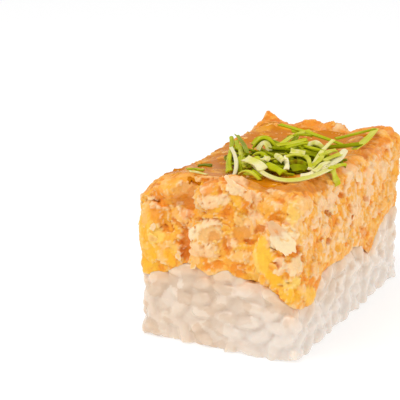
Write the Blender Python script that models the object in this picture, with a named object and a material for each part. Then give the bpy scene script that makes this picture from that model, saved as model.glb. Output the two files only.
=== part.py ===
"""One piece of shrimp tempura oshi sushi: a pressed block of rice, a thick layer of shrimp and torn tempura
batter on it, and a loose heap of scallion shreds on top.

The design is in millimetres. +Z is up and the origin is the middle of the flat underside. The torn, flaky side
is the front (-Y) and the knife-cut side is the right (+X).
"""

import math
import random

import bmesh
import bpy
from mathutils import Matrix, Vector, noise
from mathutils.bvhtree import BVHTree

MM = 0.001

# Driving dimensions, in millimetres.
WIDTH = 40.0  # X, along the torn front
DEPTH = 66.0  # Y, along the knife cut
RIM_HEIGHT = 38.5  # Z of the shrimp layer's rim
SEAM_HEIGHT = 16.5  # mean Z where the shrimp layer meets the rice
GAP = 0.5  # left free between the three pieces
CORNER_RADIUS = 2.2  # of the upright edges
TOP_EDGE_RADIUS = 1.6  # of the shrimp layer's rim
SHORTEST_EDGE = 0.35  # left where fused pieces meet
LIMIT_SOFTNESS = 0.6  # how gently a limit bends what would pass it
FLAT_ANGLE = math.radians(0.1)  # faces this nearly in one plane become one face

# The seam wanders up and down along the walls: x, y, rise and spread of each swell.
SEAM_DEPTH = 6.0  # it is level this far inside the walls
SEAM_SWELLS = (
    (-19.2, -33.0, -1.9, 4.0),
    (-6.1, -33.0, 3.0, 3.0),
    (3.1, -33.0, 2.3, 2.2),
    (9.5, -33.0, 1.6, 3.0),
    (19.3, -33.0, -2.7, 2.6),
    (20.0, -26.0, -5.4, 4.4),
    (20.0, -13.8, 0.9, 3.0),
    (20.0, 0.0, 1.0, 2.5),
    (20.0, 12.8, -5.0, 3.0),
    (20.0, 27.0, 4.2, 6.0),
    (3.8, 33.0, 2.0, 5.0),
    (-11.4, 33.0, -3.0, 5.0),
    (-20.0, 9.1, -2.6, 5.0),
    (-20.0, -15.9, 1.4, 5.0),
)
SEAM_SPREAD = 5.0  # the seam stays within this much of its mean height
SEAM_RIPPLE = 0.5
SEAM_RIPPLE_SCALE = 0.35  # noise scales are per millimetre

# The shrimp layer: cell size of its surface, and the lie of its top, which droops along the left side.
LAYER_WIDTH = 39.0
LAYER_DEPTH = 65.0
LAYER_CELL = 2.6
LAYER_COURSES = 10
BASIN_CENTRE = (0.5, 0.0)
BASIN_REACH = (14.0, 28.0)
BASIN_DROP = 2.0
DROOP_MIDDLE = (-20.0, -12.0)
DROOP = 4.0
DROOP_REACH = (5.0, 20.0)
TOP_ROUGHNESS = 1.1
TOP_ROUGHNESS_SCALE = 0.28

# The relief of the torn walls and of the knife-cut ones.
PLATE_RELIEF = 2.1
PLATE_SCALE = 0.15
CREVICE_DEPTH = 1.4
CREVICE_SCALE = 0.16
CREVICE_SHARPNESS = 6.0
FIBRE_RELIEF = 1.0
FIBRE_SCALE = (0.4, 0.4, 0.16)
CUT_LUMP_RELIEF = 1.1
CUT_LUMP_SCALE = 0.24
HOLLOW_SHARPNESS = 1.2

# Lumps and dips of the rim: x, y, rise and spread.
RIM_LUMPS = (
    (-20.0, -33.0, -2.4, 3.5),
    (3.0, -31.5, 2.0, 3.4),
    (14.0, -31.5, -0.8, 3.0),
    (-20.0, 22.0, -2.4, 2.2),
    (-17.0, 30.5, 2.0, 2.2),
    (-11.0, 31.5, -1.0, 2.0),
    (-6.6, 31.0, 1.2, 1.3),
    (-2.8, 31.0, 2.2, 1.4),
    (2.2, 31.0, 2.4, 1.8),
    (6.8, 31.0, -0.8, 2.0),
    (15.5, 29.0, 1.8, 3.0),
    (12.4, 13.8, 0.9, 3.0),
)

# Hollows in the walls: wall, place along it, height, width, tallness and depth.
HOLLOWS = (
    ("front", -8.0, 33.0, 5.0, 3.4, 2.6),
    ("front", -7.0, 22.6, 1.6, 3.8, 1.6),
    ("front", 8.9, 30.8, 2.4, 3.2, 1.6),
    ("front", -1.0, 31.9, 4.6, 1.1, 1.0),
    ("right", -13.5, 30.0, 2.0, 1.7, 1.0),
    ("right", -28.5, 24.6, 1.8, 2.3, 1.0),
    ("back", 7.6, 28.9, 4.3, 3.8, 2.0),
    ("back", -8.6, 22.1, 2.9, 4.8, 1.8),
    ("left", 6.8, 27.5, 3.0, 2.7, 1.2),
    ("left", -18.2, 24.5, 2.3, 2.9, 1.0),
)

# Lumps and plates of batter and shrimp on the walls:
# wall, place along it, height, half width, half tallness, thickness, turn in degrees, how far it stands out.
CHUNKS = (
    ("front", 0.3, 26.2, 5.5, 4.9, 3.0, 4.0, 0.3),
    ("front", 2.2, 35.4, 6.8, 3.4, 1.8, 5.0, 0.3),
    ("front", 16.0, 28.8, 2.8, 4.4, 1.0, 32.0, 1.0),
    ("front", 13.3, 21.9, 2.6, 6.6, 2.2, 24.0, 0.3),
    ("front", 17.1, 21.7, 1.9, 2.3, 1.8, 0.0, 0.2),
    ("front", -14.4, 21.5, 4.2, 4.4, 2.4, 10.0, 0.2),
    ("front", -15.1, 29.0, 3.5, 3.4, 1.8, 0.0, -0.1),
    ("front", 17.2, 16.2, 2.2, 1.9, 1.6, 0.0, 0.2),
    ("right", -24.0, 13.4, 4.0, 2.4, 2.2, -20.0, 0.2),
    ("right", -5.8, 25.1, 5.0, 3.8, 1.6, 0.0, 0.0),
    ("right", 16.9, 28.6, 4.5, 4.8, 1.4, 10.0, 0.0),
    ("back", 9.5, 22.1, 4.8, 4.2, 2.4, -12.0, 0.3),
    ("back", -3.8, 32.2, 6.1, 3.3, 1.8, 8.0, 0.3),
    ("back", -13.8, 25.5, 3.4, 5.4, 2.0, -18.0, 0.3),
    ("left", 20.5, 24.1, 4.8, 4.4, 1.6, 0.0, 0.4),
    ("left", -9.1, 21.2, 4.6, 3.5, 1.6, 12.0, 0.3),
)
CHUNK_SINK = 0.4  # of a chunk into its wall
CHUNK_ROUGHNESS = 0.45
FLAKE_COUNT = 38
FLAKE_WALLS = ("front", "front", "back", "back", "right", "left")
FLAKE_REACH = 0.4  # of the wall's length, either way from its middle
FLAKE_OUT = (-0.2, 0.3)
FLAKE_HALF_WIDTH = (1.3, 2.6)
FLAKE_TALLNESS = (0.7, 1.5)  # times its width
FLAKE_THICKNESS = 1.0
FLAKE_LEAN = (15.0, 45.0)  # degrees off the wall
FLAKE_MARGIN = 3.5  # left free above the seam and below the top
FLAKE_ROUGHNESS = 0.6
DENT_SCALE = 1.3  # of the dents in lumps, for a lump of radius one
DENT_STEP = Vector((3.1, 1.7, 2.3))  # from one lump's dents to the next one's
LAYER_SEED = 11
BATTER_COLOR = (0.90, 0.44, 0.16)  # linear red, green and blue

# Loose bits of green on the rim's near corner: x, y, length, width and heading in degrees.
LOOSE_GREEN = (
    (-10.7, -16.5, 3.0, 1.5, 20.0),
    (-9.3, -23.7, 4.0, 0.9, 10.0),
    (-6.9, -26.7, 4.2, 0.8, 12.0),
)
LOOSE_GREEN_THICKNESS = 0.7
LOOSE_GREEN_ROUGHNESS = 0.2

# The rice.
RICE_WALL = 1.35  # from the wall in to the bare core, which the grains cover
CORE_DROP = 0.6  # of the core below its grains at the seam
CORE_COLUMNS = 13
CORE_ROWS = 18
GRAIN_LENGTH = 7.0
GRAIN_WIDTH = 3.2
GRAIN_LENGTHS = (0.85, 1.12)  # times the length
GRAIN_WIDTHS = (0.9, 1.1)  # times the width
GRAIN_SIDES = 5
GRAIN_RING = 0.22  # of the length, from the middle to each ring of points
GRAIN_SINK = 0.35  # of a grain behind the wall, at most
FIRST_ROW = 1.7
ROW_RISE = 3.1
ROW_JITTER = 0.4
ROOF_SHARE = 0.3  # of a grain's width that must fit under the seam
GRAIN_SPACING = 5.8
SPACING_JITTER = 0.3
GRAIN_TURN = 32.0  # degrees off level, typically
GRAIN_TILT = 14.0  # degrees in or out of the wall, at most
FOOT_CLEARANCE = 0.2  # the core alone rests on the table
RICE_SEED = 5
RICE_COLOR = (0.79, 0.70, 0.60)

# The heap of scallion shreds, in its own axes: along runs to the right and back, away runs to the left and back.
HEAP_CENTRE = (5.5, -7.9)
HEAP_TURN = 28.0
HEAP_RADIUS = 13.0
HEAP_TOP = 40.5
HEAP_FOOT = 37.1
CORE_SHARE = 0.72  # of the heap's radius
HEAP_CLEARANCE = 0.55  # from the layer's top up to the lowest point of the heap
SIDE_CLEARANCE = 0.3  # from the layer's side out to a hanging shred
CLEARANCE_STEP = 0.007  # more for each further shred, so that no two faces lie in one plane
CORE_SINK = 0.6  # of the core below the shreds on it
CORE_RINGS = 4
CORE_SIDES = 14
SHRED_THICKNESS = 0.7
SHRED_SEGMENTS = 5
SHRED_TAPER = 0.25  # of the width, lost towards each end
FOOTPRINT = 1.2  # half size of the spot that a shred's point rests on

# Shreds that show, each from its start to its end: along, away and height twice, sideways bow, rise in the
# middle, width and roll in degrees.
SHREDS = (
    (-12.1, 15.7, 40.0, -13.4, -9.4, 38.2, 0.2, 0.1, 1.5, 20.0),
    (-10.8, 15.5, 40.3, -8.9, -2.2, 40.3, 0.2, 0.2, 1.5, -15.0),
    (-12.3, 3.9, 40.2, -12.1, -12.8, 38.2, 0.9, 0.2, 1.3, 30.0),
    (-13.0, 0.0, 39.5, -13.0, -9.0, 38.1, 0.0, 0.0, 1.8, 40.0),
    (-10.7, 11.6, 40.0, -10.3, 0.5, 39.6, 0.0, 0.0, 1.7, 10.0),
    (-10.2, 3.1, 39.9, -9.4, -8.9, 39.0, -0.1, 0.1, 1.6, 0.0),
    (-7.4, 5.0, 39.8, -1.6, 2.4, 40.2, -0.3, 2.8, 1.3, 35.0),
    (-6.8, 6.0, 39.9, -2.3, 2.4, 40.2, 0.0, 2.1, 1.2, 35.0),
    (-7.2, 6.8, 40.2, -2.9, 9.3, 40.8, 0.6, 1.0, 1.1, 30.0),
    (-6.0, 2.3, 40.0, -3.5, 1.4, 40.1, 0.3, 1.6, 1.9, 45.0),
    (-3.4, 9.4, 40.9, -0.5, 1.7, 40.4, 0.3, 0.4, 1.5, 20.0),
    (-7.2, -1.0, 39.8, -4.1, -4.7, 40.0, -0.2, 0.9, 1.6, 10.0),
    (-7.3, -6.1, 40.6, -5.0, -10.0, 40.0, 0.0, 0.0, 1.8, 20.0),
    (-5.6, -9.0, 41.0, -4.4, -10.8, 41.0, 0.0, 0.0, 1.8, 30.0),
    (-4.8, -10.7, 40.4, -1.5, -15.4, 39.6, 0.0, 0.0, 2.4, 25.0),
    (-2.7, -6.5, 41.4, -1.3, -11.1, 41.2, 0.0, 0.0, 2.0, 30.0),
    (-3.5, 1.8, 40.6, 1.2, -0.6, 40.6, 0.0, 0.0, 1.6, 0.0),
    (-0.6, 4.5, 40.9, 7.1, 18.5, 40.6, 0.3, 0.4, 1.5, 10.0),
    (0.5, 9.9, 40.8, 7.1, 14.3, 40.6, 0.1, 0.7, 1.5, 0.0),
    (-1.9, 2.1, 41.0, 5.4, 7.5, 41.0, 0.3, -0.2, 1.7, 20.0),
    (0.1, -0.3, 41.0, 6.5, 4.1, 41.0, 0.4, 0.3, 1.7, 5.0),
    (2.6, 19.1, 40.7, 7.0, 16.5, 40.7, 0.0, 0.0, 1.5, 0.0),
    (4.0, 3.1, 41.0, 9.4, -2.3, 40.8, -0.1, 0.2, 1.6, 0.0),
    (5.4, 3.4, 41.3, 8.7, 2.2, 41.1, -0.1, 0.8, 2.4, 15.0),
    (0.1, 24.3, 40.9, 13.6, 5.9, 40.2, -0.3, 0.3, 1.5, 10.0),
    (0.6, -5.9, 41.5, 3.6, -7.4, 41.3, 0.0, 0.0, 2.2, 30.0),
    (-0.6, -8.0, 41.2, 4.1, -7.6, 41.1, -0.3, 0.5, 1.6, 10.0),
    (3.7, -7.1, 41.2, 4.7, -13.6, 39.8, 0.1, 0.5, 1.4, 10.0),
    (-0.4, -7.9, 41.3, -0.6, -12.8, 39.6, 0.0, 0.0, 1.6, 0.0),
    (0.4, -9.9, 40.2, 3.9, -10.8, 40.2, 0.2, 0.4, 2.2, 45.0),
    (0.5, -11.7, 39.4, 3.8, -12.1, 39.4, 0.1, 0.3, 2.2, 50.0),
    (4.3, -14.0, 39.9, 11.3, 5.2, 41.7, 0.5, -0.2, 1.4, 0.0),
    (4.8, -13.1, 39.9, 7.8, -6.7, 41.0, 0.0, 0.0, 1.5, 10.0),
    (5.1, -14.5, 39.6, 8.8, -8.5, 40.3, -0.2, 0.2, 1.6, 10.0),
    (2.1, -16.9, 39.0, 8.5, -11.5, 39.7, -0.1, -0.3, 1.5, 15.0),
    (7.5, -11.9, 39.8, 13.5, 1.7, 40.4, -0.5, -0.2, 2.5, 10.0),
    (7.4, -5.9, 40.8, 11.3, -0.5, 40.6, 0.0, 0.0, 1.7, 5.0),
    (8.1, -8.9, 40.4, 12.1, -2.7, 40.2, 0.0, 0.0, 1.7, 0.0),
    (12.5, 12.6, 40.4, 23.2, 23.0, 40.2, 0.0, 0.0, 1.5, 0.0),
    (23.3, 23.8, 40.0, 16.2, 5.7, 39.4, 0.6, -0.1, 2.4, 3.0),
    (-8.3, -7.4, 40.0, 9.2, -11.2, 39.4, -9.6, -1.0, 1.5, 25.0),
    (-9.3, -6.8, 40.3, -5.8, -13.7, 39.6, 0.1, 0.3, 3.2, 20.0),
    (-10.9, -12.0, 38.2, -6.4, -15.9, 38.1, -0.5, 1.5, 1.6, 0.0),
    (-8.4, -12.4, 38.9, -6.0, -14.7, 38.5, 0.0, 0.0, 2.0, 10.0),
    (9.3, -10.6, 39.8, 11.0, -9.9, 35.1, 0.0, 0.0, 2.3, 85.0),
    (8.3, -11.9, 39.8, 12.8, -7.3, 39.4, 0.0, 0.0, 1.8, 5.0),
    (-13.6, -5.0, 38.6, -7.5, -6.0, 39.2, 0.3, 0.0, 1.5, 0.0),
    (-13.2, 6.0, 39.4, -7.0, 3.0, 39.6, 0.3, 0.0, 1.4, 0.0),
    (5.0, 2.1, 39.9, 18.0, 7.9, 39.7, -0.8, 0.3, 1.9, 0.0),
)
FILLER_COUNT = 5
FILLER_LENGTH = (8.0, 15.0)
FILLER_REACH = 0.62  # of the heap's radius, to a filler's middle
FILLER_SINK = 0.2
FILLER_BOW = 2.0
FILLER_RISE = 0.6
FILLER_ROLL = 30.0
FILLER_WIDTH = (1.3, 2.1)
HEAP_SEED = 3
SCALLION_COLOR = (0.36, 0.55, 0.06)

WALLS = {
    "front": Vector((0.0, -1.0, 0.0)),
    "right": Vector((1.0, 0.0, 0.0)),
    "back": Vector((0.0, 1.0, 0.0)),
    "left": Vector((-1.0, 0.0, 0.0)),
}
UP = Vector((0.0, 0.0, 1.0))


# Shared helpers.


def clear_scene():
    for thing in list(bpy.data.objects):
        bpy.data.objects.remove(thing, do_unlink=True)


def material(name, color, roughness):
    """A Principled material of one colour, given as linear red, green and blue."""
    made = bpy.data.materials.new(name)
    made.use_nodes = True
    shader = made.node_tree.nodes["Principled BSDF"]
    shader.inputs["Base Color"].default_value = (*color, 1.0)
    shader.inputs["Roughness"].default_value = roughness
    made.diffuse_color = (*color, 1.0)
    return made


def add_object(name, shape, collection):
    """Turns a bmesh in millimetres into an object in metres."""
    bmesh.ops.recalc_face_normals(shape, faces=shape.faces)
    bmesh.ops.scale(shape, vec=(MM, MM, MM), verts=shape.verts)
    mesh = bpy.data.meshes.new(name)
    shape.to_mesh(mesh)
    shape.free()
    thing = bpy.data.objects.new(name, mesh)
    collection.objects.link(thing)
    return thing


def fused(core, pieces, solver="EXACT"):
    """Joins the pieces' solids to the core with one Boolean union and removes the pieces."""
    union = core.modifiers.new("Union", "BOOLEAN")
    union.operation = "UNION"
    union.operand_type = "COLLECTION"
    union.collection = pieces
    union.solver = solver
    graph = bpy.context.evaluated_depsgraph_get()
    mesh = bpy.data.meshes.new_from_object(core.evaluated_get(graph))
    core.modifiers.clear()
    core.data = mesh
    for piece in list(pieces.objects):
        bpy.data.objects.remove(piece, do_unlink=True)
    bpy.data.collections.remove(pieces)
    keep_largest_shell(mesh)


def keep_largest_shell(mesh):
    """Drops loose scraps and the walls of sealed hollows, so that one closed body is left."""
    shape = bmesh.new()
    shape.from_mesh(mesh)
    unseen = set(shape.faces)
    shells = []
    while unseen:
        stack = [unseen.pop()]
        shell = list(stack)
        while stack:
            for edge in stack.pop().edges:
                nearby = unseen.intersection(edge.link_faces) if len(edge.link_faces) == 2 else ()
                unseen.difference_update(nearby)
                stack.extend(nearby)
                shell.extend(nearby)
        shells.append(shell)
    shells.sort(key=len)
    for shell in shells[:-1]:
        bmesh.ops.delete(shape, geom=shell, context="FACES")
    bmesh.ops.triangulate(shape, faces=shape.faces)
    collapse_short_edges(shape, SHORTEST_EDGE * MM)
    shape.to_mesh(mesh)
    shape.free()


def neighbours(vert):
    return {edge.other_vert(vert) for edge in vert.link_edges}


def collapse_short_edges(shape, limit):
    """Joins the ends of short edges wherever the surface stays closed."""
    while True:
        joined = {}
        used = set()
        for edge in sorted(shape.edges, key=lambda edge: edge.calc_length()):
            if edge.calc_length() > limit:
                break
            near, far = edge.verts
            around = neighbours(near) | neighbours(far)
            sound = near.is_manifold and far.is_manifold and len(neighbours(near) & neighbours(far)) == 2
            if sound and not around & used:
                joined[near] = far
                used |= around
        if not joined:
            return
        bmesh.ops.weld_verts(shape, targetmap=joined)


def kept_below(value, limit, softness=LIMIT_SOFTNESS):
    """The value, bent smoothly so that it stays under the limit."""
    over = value - limit
    return value - 0.5 * (over + math.hypot(over, softness))


def kept_above(value, limit, softness=LIMIT_SOFTNESS):
    """The value, bent smoothly so that it stays over the limit."""
    return -kept_below(-value, -limit, softness)


def swell(x, y, rise, spread, at_x, at_y):
    """The height of a round bump at (x, y), read at another place."""
    distance = ((at_x - x) ** 2 + (at_y - y) ** 2) / spread**2
    return rise * math.exp(-0.5 * distance)


def wall_place(wall, along, height, out, width, depth):
    """A point on a wall, from its place along it, its height and how far it stands out."""
    normal = WALLS[wall]
    if normal.x:
        return Vector((normal.x * (0.5 * width + out), along, height))
    return Vector((along, normal.y * (0.5 * depth + out), height))


def rounded_plan(x, y, width, depth, softness=0.0):
    """Pulls a point of a rectangle's outline onto its rounded corners. Also gives the way out of the wall."""
    inner_x = 0.5 * width - CORNER_RADIUS
    inner_y = 0.5 * depth - CORNER_RADIUS
    over = Vector((max(abs(x) - inner_x, 0.0), max(abs(y) - inner_y, 0.0), 0.0))
    reach = over.length
    if not reach:
        return x, y, over
    over *= kept_below(reach, CORNER_RADIUS, softness) / reach
    x = math.copysign(inner_x + over.x, x) if over.x else x
    y = math.copysign(inner_y + over.y, y) if over.y else y
    return x, y, Vector((math.copysign(over.x, x), math.copysign(over.y, y), 0.0)).normalized()


def block(columns, rows, courses, place):
    """A closed box of quads. place(u, v, w) gives a point, with u and v from -1 to 1 and w from 0 to 1."""
    shape = bmesh.new()
    points = {}

    def point(i, j, k):
        if (i, j, k) not in points:
            where = place(2.0 * i / columns - 1.0, 2.0 * j / rows - 1.0, k / courses)
            points[i, j, k] = shape.verts.new(where)
        return points[i, j, k]

    for i in range(columns):
        for k in range(courses):
            for j in (0, rows):
                corners = ((i, j, k), (i + 1, j, k), (i + 1, j, k + 1), (i, j, k + 1))
                shape.faces.new([point(*corner) for corner in corners])
    for j in range(rows):
        for k in range(courses):
            for i in (0, columns):
                corners = ((i, j, k), (i, j + 1, k), (i, j + 1, k + 1), (i, j, k + 1))
                shape.faces.new([point(*corner) for corner in corners])
    for i in range(columns):
        for j in range(rows):
            for k in (0, courses):
                corners = ((i, j, k), (i + 1, j, k), (i + 1, j + 1, k), (i, j + 1, k))
                shape.faces.new([point(*corner) for corner in corners])
    return shape


def lump(half_sizes, seed, roughness, smoothness):
    """An uneven rounded lump: an icosphere with the given half sizes, dented by noise."""
    shape = bmesh.new()
    bmesh.ops.create_icosphere(shape, subdivisions=smoothness, radius=1.0)
    shift = seed * DENT_STEP
    for vert in shape.verts:
        dent = 1.0 + roughness * noise.noise(vert.co * DENT_SCALE + shift)
        vert.co = Vector(size * part * dent for size, part in zip(half_sizes, vert.co))
    return shape


def facing(wall, turn, tilt):
    """The rotation that lays a piece against a wall: its Z points out and its X along the wall."""
    normal = WALLS[wall]
    side = UP.cross(normal)
    lean = Matrix.Rotation(math.radians(turn), 3, "Z") @ Matrix.Rotation(math.radians(tilt), 3, "X")
    return Matrix((side, UP, normal)).transposed() @ lean


# The seam between rice and shrimp layer.


def seam_height(x, y):
    """The height of the seam. It is level inside and wanders at the walls."""
    inside = min(0.5 * WIDTH - abs(x), 0.5 * DEPTH - abs(y))
    weight = min(max(1.0 - inside / SEAM_DEPTH, 0.0), 1.0)
    if not weight:
        return SEAM_HEIGHT
    stretch = 1.0 / max(abs(x) / (0.5 * WIDTH), abs(y) / (0.5 * DEPTH))
    at_x, at_y = x * stretch, y * stretch
    rise = sum(swell(*bump, at_x, at_y) for bump in SEAM_SWELLS)
    rise += SEAM_RIPPLE * noise.noise(Vector((at_x, at_y, SEAM_HEIGHT)) * SEAM_RIPPLE_SCALE)
    return SEAM_HEIGHT + weight * rise


# The shrimp and tempura layer.


def top_height(x, y):
    """The height of the layer's top: a shallow basin in a lumpy rim that droops on the left."""
    height = RIM_HEIGHT + TOP_ROUGHNESS * noise.noise(Vector((x, y, RIM_HEIGHT)) * TOP_ROUGHNESS_SCALE)
    height += sum(swell(*bump, x, y) for bump in RIM_LUMPS)
    out_x = (x - BASIN_CENTRE[0]) / BASIN_REACH[0]
    out_y = (y - BASIN_CENTRE[1]) / BASIN_REACH[1]
    height -= BASIN_DROP / (1.0 + (out_x**2 + out_y**2) ** 4)
    droop_x = (x - DROOP_MIDDLE[0]) / DROOP_REACH[0]
    droop_y = (y - DROOP_MIDDLE[1]) / DROOP_REACH[1]
    return height - DROOP * math.exp(-0.5 * (droop_x**2 + droop_y**2))


def torn_relief(place):
    """Plates of batter at different depths with crevices between them, for the torn front and back."""
    spots, _ = noise.voronoi(place * CREVICE_SCALE)
    plate = noise.noise(place * PLATE_SCALE)
    crevice = max(0.0, 1.0 - (spots[1] - spots[0]) * CREVICE_SHARPNESS)
    return PLATE_RELIEF * plate - CREVICE_DEPTH * crevice


def cut_relief(place):
    """Upright fibres over low lumps, for the two knife-cut walls."""
    fibres = noise.noise(place * Vector(FIBRE_SCALE))
    lumps = noise.noise(place * CUT_LUMP_SCALE)
    return FIBRE_RELIEF * fibres + CUT_LUMP_RELIEF * lumps


def hollow_depth(place, outward):
    """How far the walls' hollows take a point inwards."""
    depth = 0.0
    for wall, along, height, width, tallness, deep in HOLLOWS:
        facing_it = outward.dot(WALLS[wall])
        if facing_it > 0.5:
            across = (place.y if WALLS[wall].x else place.x) - along
            out = (across / width) ** 2 + ((place.z - height) / tallness) ** 2
            depth += deep * math.exp(-HOLLOW_SHARPNESS * out)
    return depth


def layer_point(u, v, w):
    x, y, outward = rounded_plan(u * 0.5 * LAYER_WIDTH, v * 0.5 * LAYER_DEPTH, LAYER_WIDTH, LAYER_DEPTH)
    low = seam_height(x, y)
    place = Vector((x, y, low + w * (top_height(x, y) - low)))
    if max(abs(u), abs(v)) < 1.0:
        return place
    relief = outward.x**2 * cut_relief(place) + outward.y**2 * torn_relief(place)
    relief -= hollow_depth(place, outward)
    if w == 1.0:
        relief -= TOP_EDGE_RADIUS
        place.z -= 0.5 * TOP_EDGE_RADIUS
    return place + outward * (relief if w else min(relief, 0.0))


def add_chunk(collection, number, row):
    wall, along, height, half_width, half_tall, thickness, turn, out = row
    shape = lump((half_width, half_tall, 0.5 * thickness + CHUNK_SINK), number, CHUNK_ROUGHNESS, 2)
    place = wall_place(wall, along, height, out - CHUNK_SINK, LAYER_WIDTH, LAYER_DEPTH)
    bmesh.ops.transform(shape, matrix=facing(wall, turn, 0.0).to_4x4(), verts=shape.verts)
    bmesh.ops.translate(shape, vec=place, verts=shape.verts)
    keep_in_layer(shape)
    add_object(f"chunk_{number}", shape, collection)


def add_flake(collection, number, dice):
    """A small ragged plate that stands up from a wall, mostly near the torn ones."""
    wall = dice.choice(FLAKE_WALLS)
    span = WIDTH if WALLS[wall].y else DEPTH
    along = dice.uniform(-FLAKE_REACH, FLAKE_REACH) * span
    place = wall_place(wall, along, 0.0, dice.uniform(*FLAKE_OUT), LAYER_WIDTH, LAYER_DEPTH)
    place.z = dice.uniform(SEAM_HEIGHT + FLAKE_MARGIN, top_height(place.x, place.y) - FLAKE_MARGIN)
    half_width = dice.uniform(*FLAKE_HALF_WIDTH)
    half_tall = half_width * dice.uniform(*FLAKE_TALLNESS)
    seed = len(CHUNKS) + number
    shape = lump((half_width, half_tall, 0.5 * FLAKE_THICKNESS), seed, FLAKE_ROUGHNESS, 1)
    lean = facing(wall, dice.uniform(0.0, 180.0), dice.uniform(*FLAKE_LEAN))
    bmesh.ops.transform(shape, matrix=lean.to_4x4(), verts=shape.verts)
    bmesh.ops.translate(shape, vec=place, verts=shape.verts)
    keep_in_layer(shape)
    add_object(f"flake_{number}", shape, collection)


def keep_in_layer(shape):
    """Holds a piece above the seam and inside the whole's width and depth."""
    for vert in shape.verts:
        vert.co.x = kept_above(kept_below(vert.co.x, 0.5 * WIDTH), -0.5 * WIDTH)
        vert.co.y = kept_above(kept_below(vert.co.y, 0.5 * DEPTH), -0.5 * DEPTH)
        vert.co.z = kept_above(vert.co.z, seam_height(vert.co.x, vert.co.y) + 0.5 * GAP)


def add_loose_green(collection, number, row):
    x, y, length, width, heading = row
    half_sizes = (0.5 * length, 0.5 * width, 0.5 * LOOSE_GREEN_THICKNESS)
    shape = lump(half_sizes, number, LOOSE_GREEN_ROUGHNESS, 1)
    turn = Matrix.Rotation(math.radians(heading), 4, "Z")
    bmesh.ops.transform(shape, matrix=turn, verts=shape.verts)
    bmesh.ops.translate(shape, vec=(x, y, top_height(x, y)), verts=shape.verts)
    add_object(f"loose_green_{number}", shape, collection)


def shrimp_tempura_layer(scene_collection):
    columns = round(LAYER_WIDTH / LAYER_CELL)
    rows = round(LAYER_DEPTH / LAYER_CELL)
    shape = block(columns, rows, LAYER_COURSES, layer_point)
    bmesh.ops.dissolve_limit(shape, angle_limit=FLAT_ANGLE, verts=shape.verts, edges=shape.edges)
    core = add_object("shrimp_tempura_layer", shape, scene_collection)
    pieces = bpy.data.collections.new("layer_pieces")
    scene_collection.children.link(pieces)
    for number, row in enumerate(CHUNKS):
        add_chunk(pieces, number, row)
    dice = random.Random(LAYER_SEED)
    for number in range(FLAKE_COUNT):
        add_flake(pieces, number, dice)
    for number, row in enumerate(LOOSE_GREEN):
        add_loose_green(pieces, number, row)
    fused(core, pieces, "MANIFOLD")
    core.data.materials.append(material("shrimp_and_batter", BATTER_COLOR, 0.55))
    return core


# The rice.


def rice_core_point(u, v, w):
    width = WIDTH - 2.0 * RICE_WALL
    depth = DEPTH - 2.0 * RICE_WALL
    x, y, _ = rounded_plan(u * 0.5 * width, v * 0.5 * depth, width, depth)
    return Vector((x, y, w * (seam_height(x, y) - GAP - CORE_DROP)))


def grain(length, width):
    """A plump grain: two staggered rings of points between two blunt ends."""
    shape = bmesh.new()
    rings = []
    for share, twist in ((-GRAIN_RING, 0.0), (GRAIN_RING, 0.5)):
        ring = []
        for side in range(GRAIN_SIDES):
            angle = math.tau * (side + twist) / GRAIN_SIDES
            across = Vector((0.0, math.cos(angle), math.sin(angle))) * 0.5 * width
            ring.append(shape.verts.new(across + Vector((share * length, 0.0, 0.0))))
        rings.append(ring)
    near, far = rings
    near_end, far_end = (shape.verts.new((share * length, 0.0, 0.0)) for share in (-0.5, 0.5))
    for side in range(GRAIN_SIDES):
        after = (side + 1) % GRAIN_SIDES
        shape.faces.new((near_end, near[after], near[side]))
        shape.faces.new((far_end, far[side], far[after]))
        shape.faces.new((near[side], near[after], far[side]))
        shape.faces.new((near[after], far[after], far[side]))
    return shape


def wall_walk(spacing, dice):
    """Places all round the block's walls, a jittered spacing apart: wall and place along it."""
    for wall, normal in WALLS.items():
        span = (WIDTH if normal.y else DEPTH) - GRAIN_WIDTH
        count = round(span / spacing)
        for step in range(count):
            share = (step + 0.5 + dice.uniform(-SPACING_JITTER, SPACING_JITTER)) / count
            yield wall, (share - 0.5) * span


def add_grain(collection, number, wall, along, height, dice):
    shape = grain(GRAIN_LENGTH * dice.uniform(*GRAIN_LENGTHS), GRAIN_WIDTH * dice.uniform(*GRAIN_WIDTHS))
    turn = dice.gauss(0.0, GRAIN_TURN)
    out = -0.5 * GRAIN_WIDTH - dice.uniform(0.0, GRAIN_SINK)
    place = wall_place(wall, along, height, out, WIDTH, DEPTH)
    tilt = math.radians(dice.uniform(-GRAIN_TILT, GRAIN_TILT))
    lean = facing(wall, turn, 0.0) @ Matrix.Rotation(tilt, 3, "Y")
    bmesh.ops.transform(shape, matrix=lean.to_4x4(), verts=shape.verts)
    bmesh.ops.translate(shape, vec=place, verts=shape.verts)
    for vert in shape.verts:
        vert.co.x, vert.co.y, _ = rounded_plan(vert.co.x, vert.co.y, WIDTH, DEPTH, LIMIT_SOFTNESS)
        roof = seam_height(vert.co.x, vert.co.y) - GAP
        vert.co.z = kept_above(kept_below(vert.co.z, roof), FOOT_CLEARANCE)
    add_object(f"grain_{number}", shape, collection)


def rice_block(scene_collection):
    shape = block(CORE_COLUMNS, CORE_ROWS, 1, rice_core_point)
    bmesh.ops.dissolve_limit(shape, angle_limit=FLAT_ANGLE, verts=shape.verts, edges=shape.edges)
    core = add_object("rice_block", shape, scene_collection)
    grains = bpy.data.collections.new("grains")
    scene_collection.children.link(grains)
    dice = random.Random(RICE_SEED)
    number = 0
    height = FIRST_ROW
    while height < SEAM_HEIGHT + SEAM_SPREAD:
        for wall, along in wall_walk(GRAIN_SPACING, dice):
            place = wall_place(wall, along, height, 0.0, WIDTH, DEPTH)
            if height + ROOF_SHARE * GRAIN_WIDTH < seam_height(place.x, place.y):
                row = height + dice.uniform(-ROW_JITTER, ROW_JITTER)
                add_grain(grains, number, wall, along, row, dice)
                number += 1
        height += ROW_RISE
    fused(core, grains)
    core.data.materials.append(material("pressed_rice", RICE_COLOR, 0.38))
    return core


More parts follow.
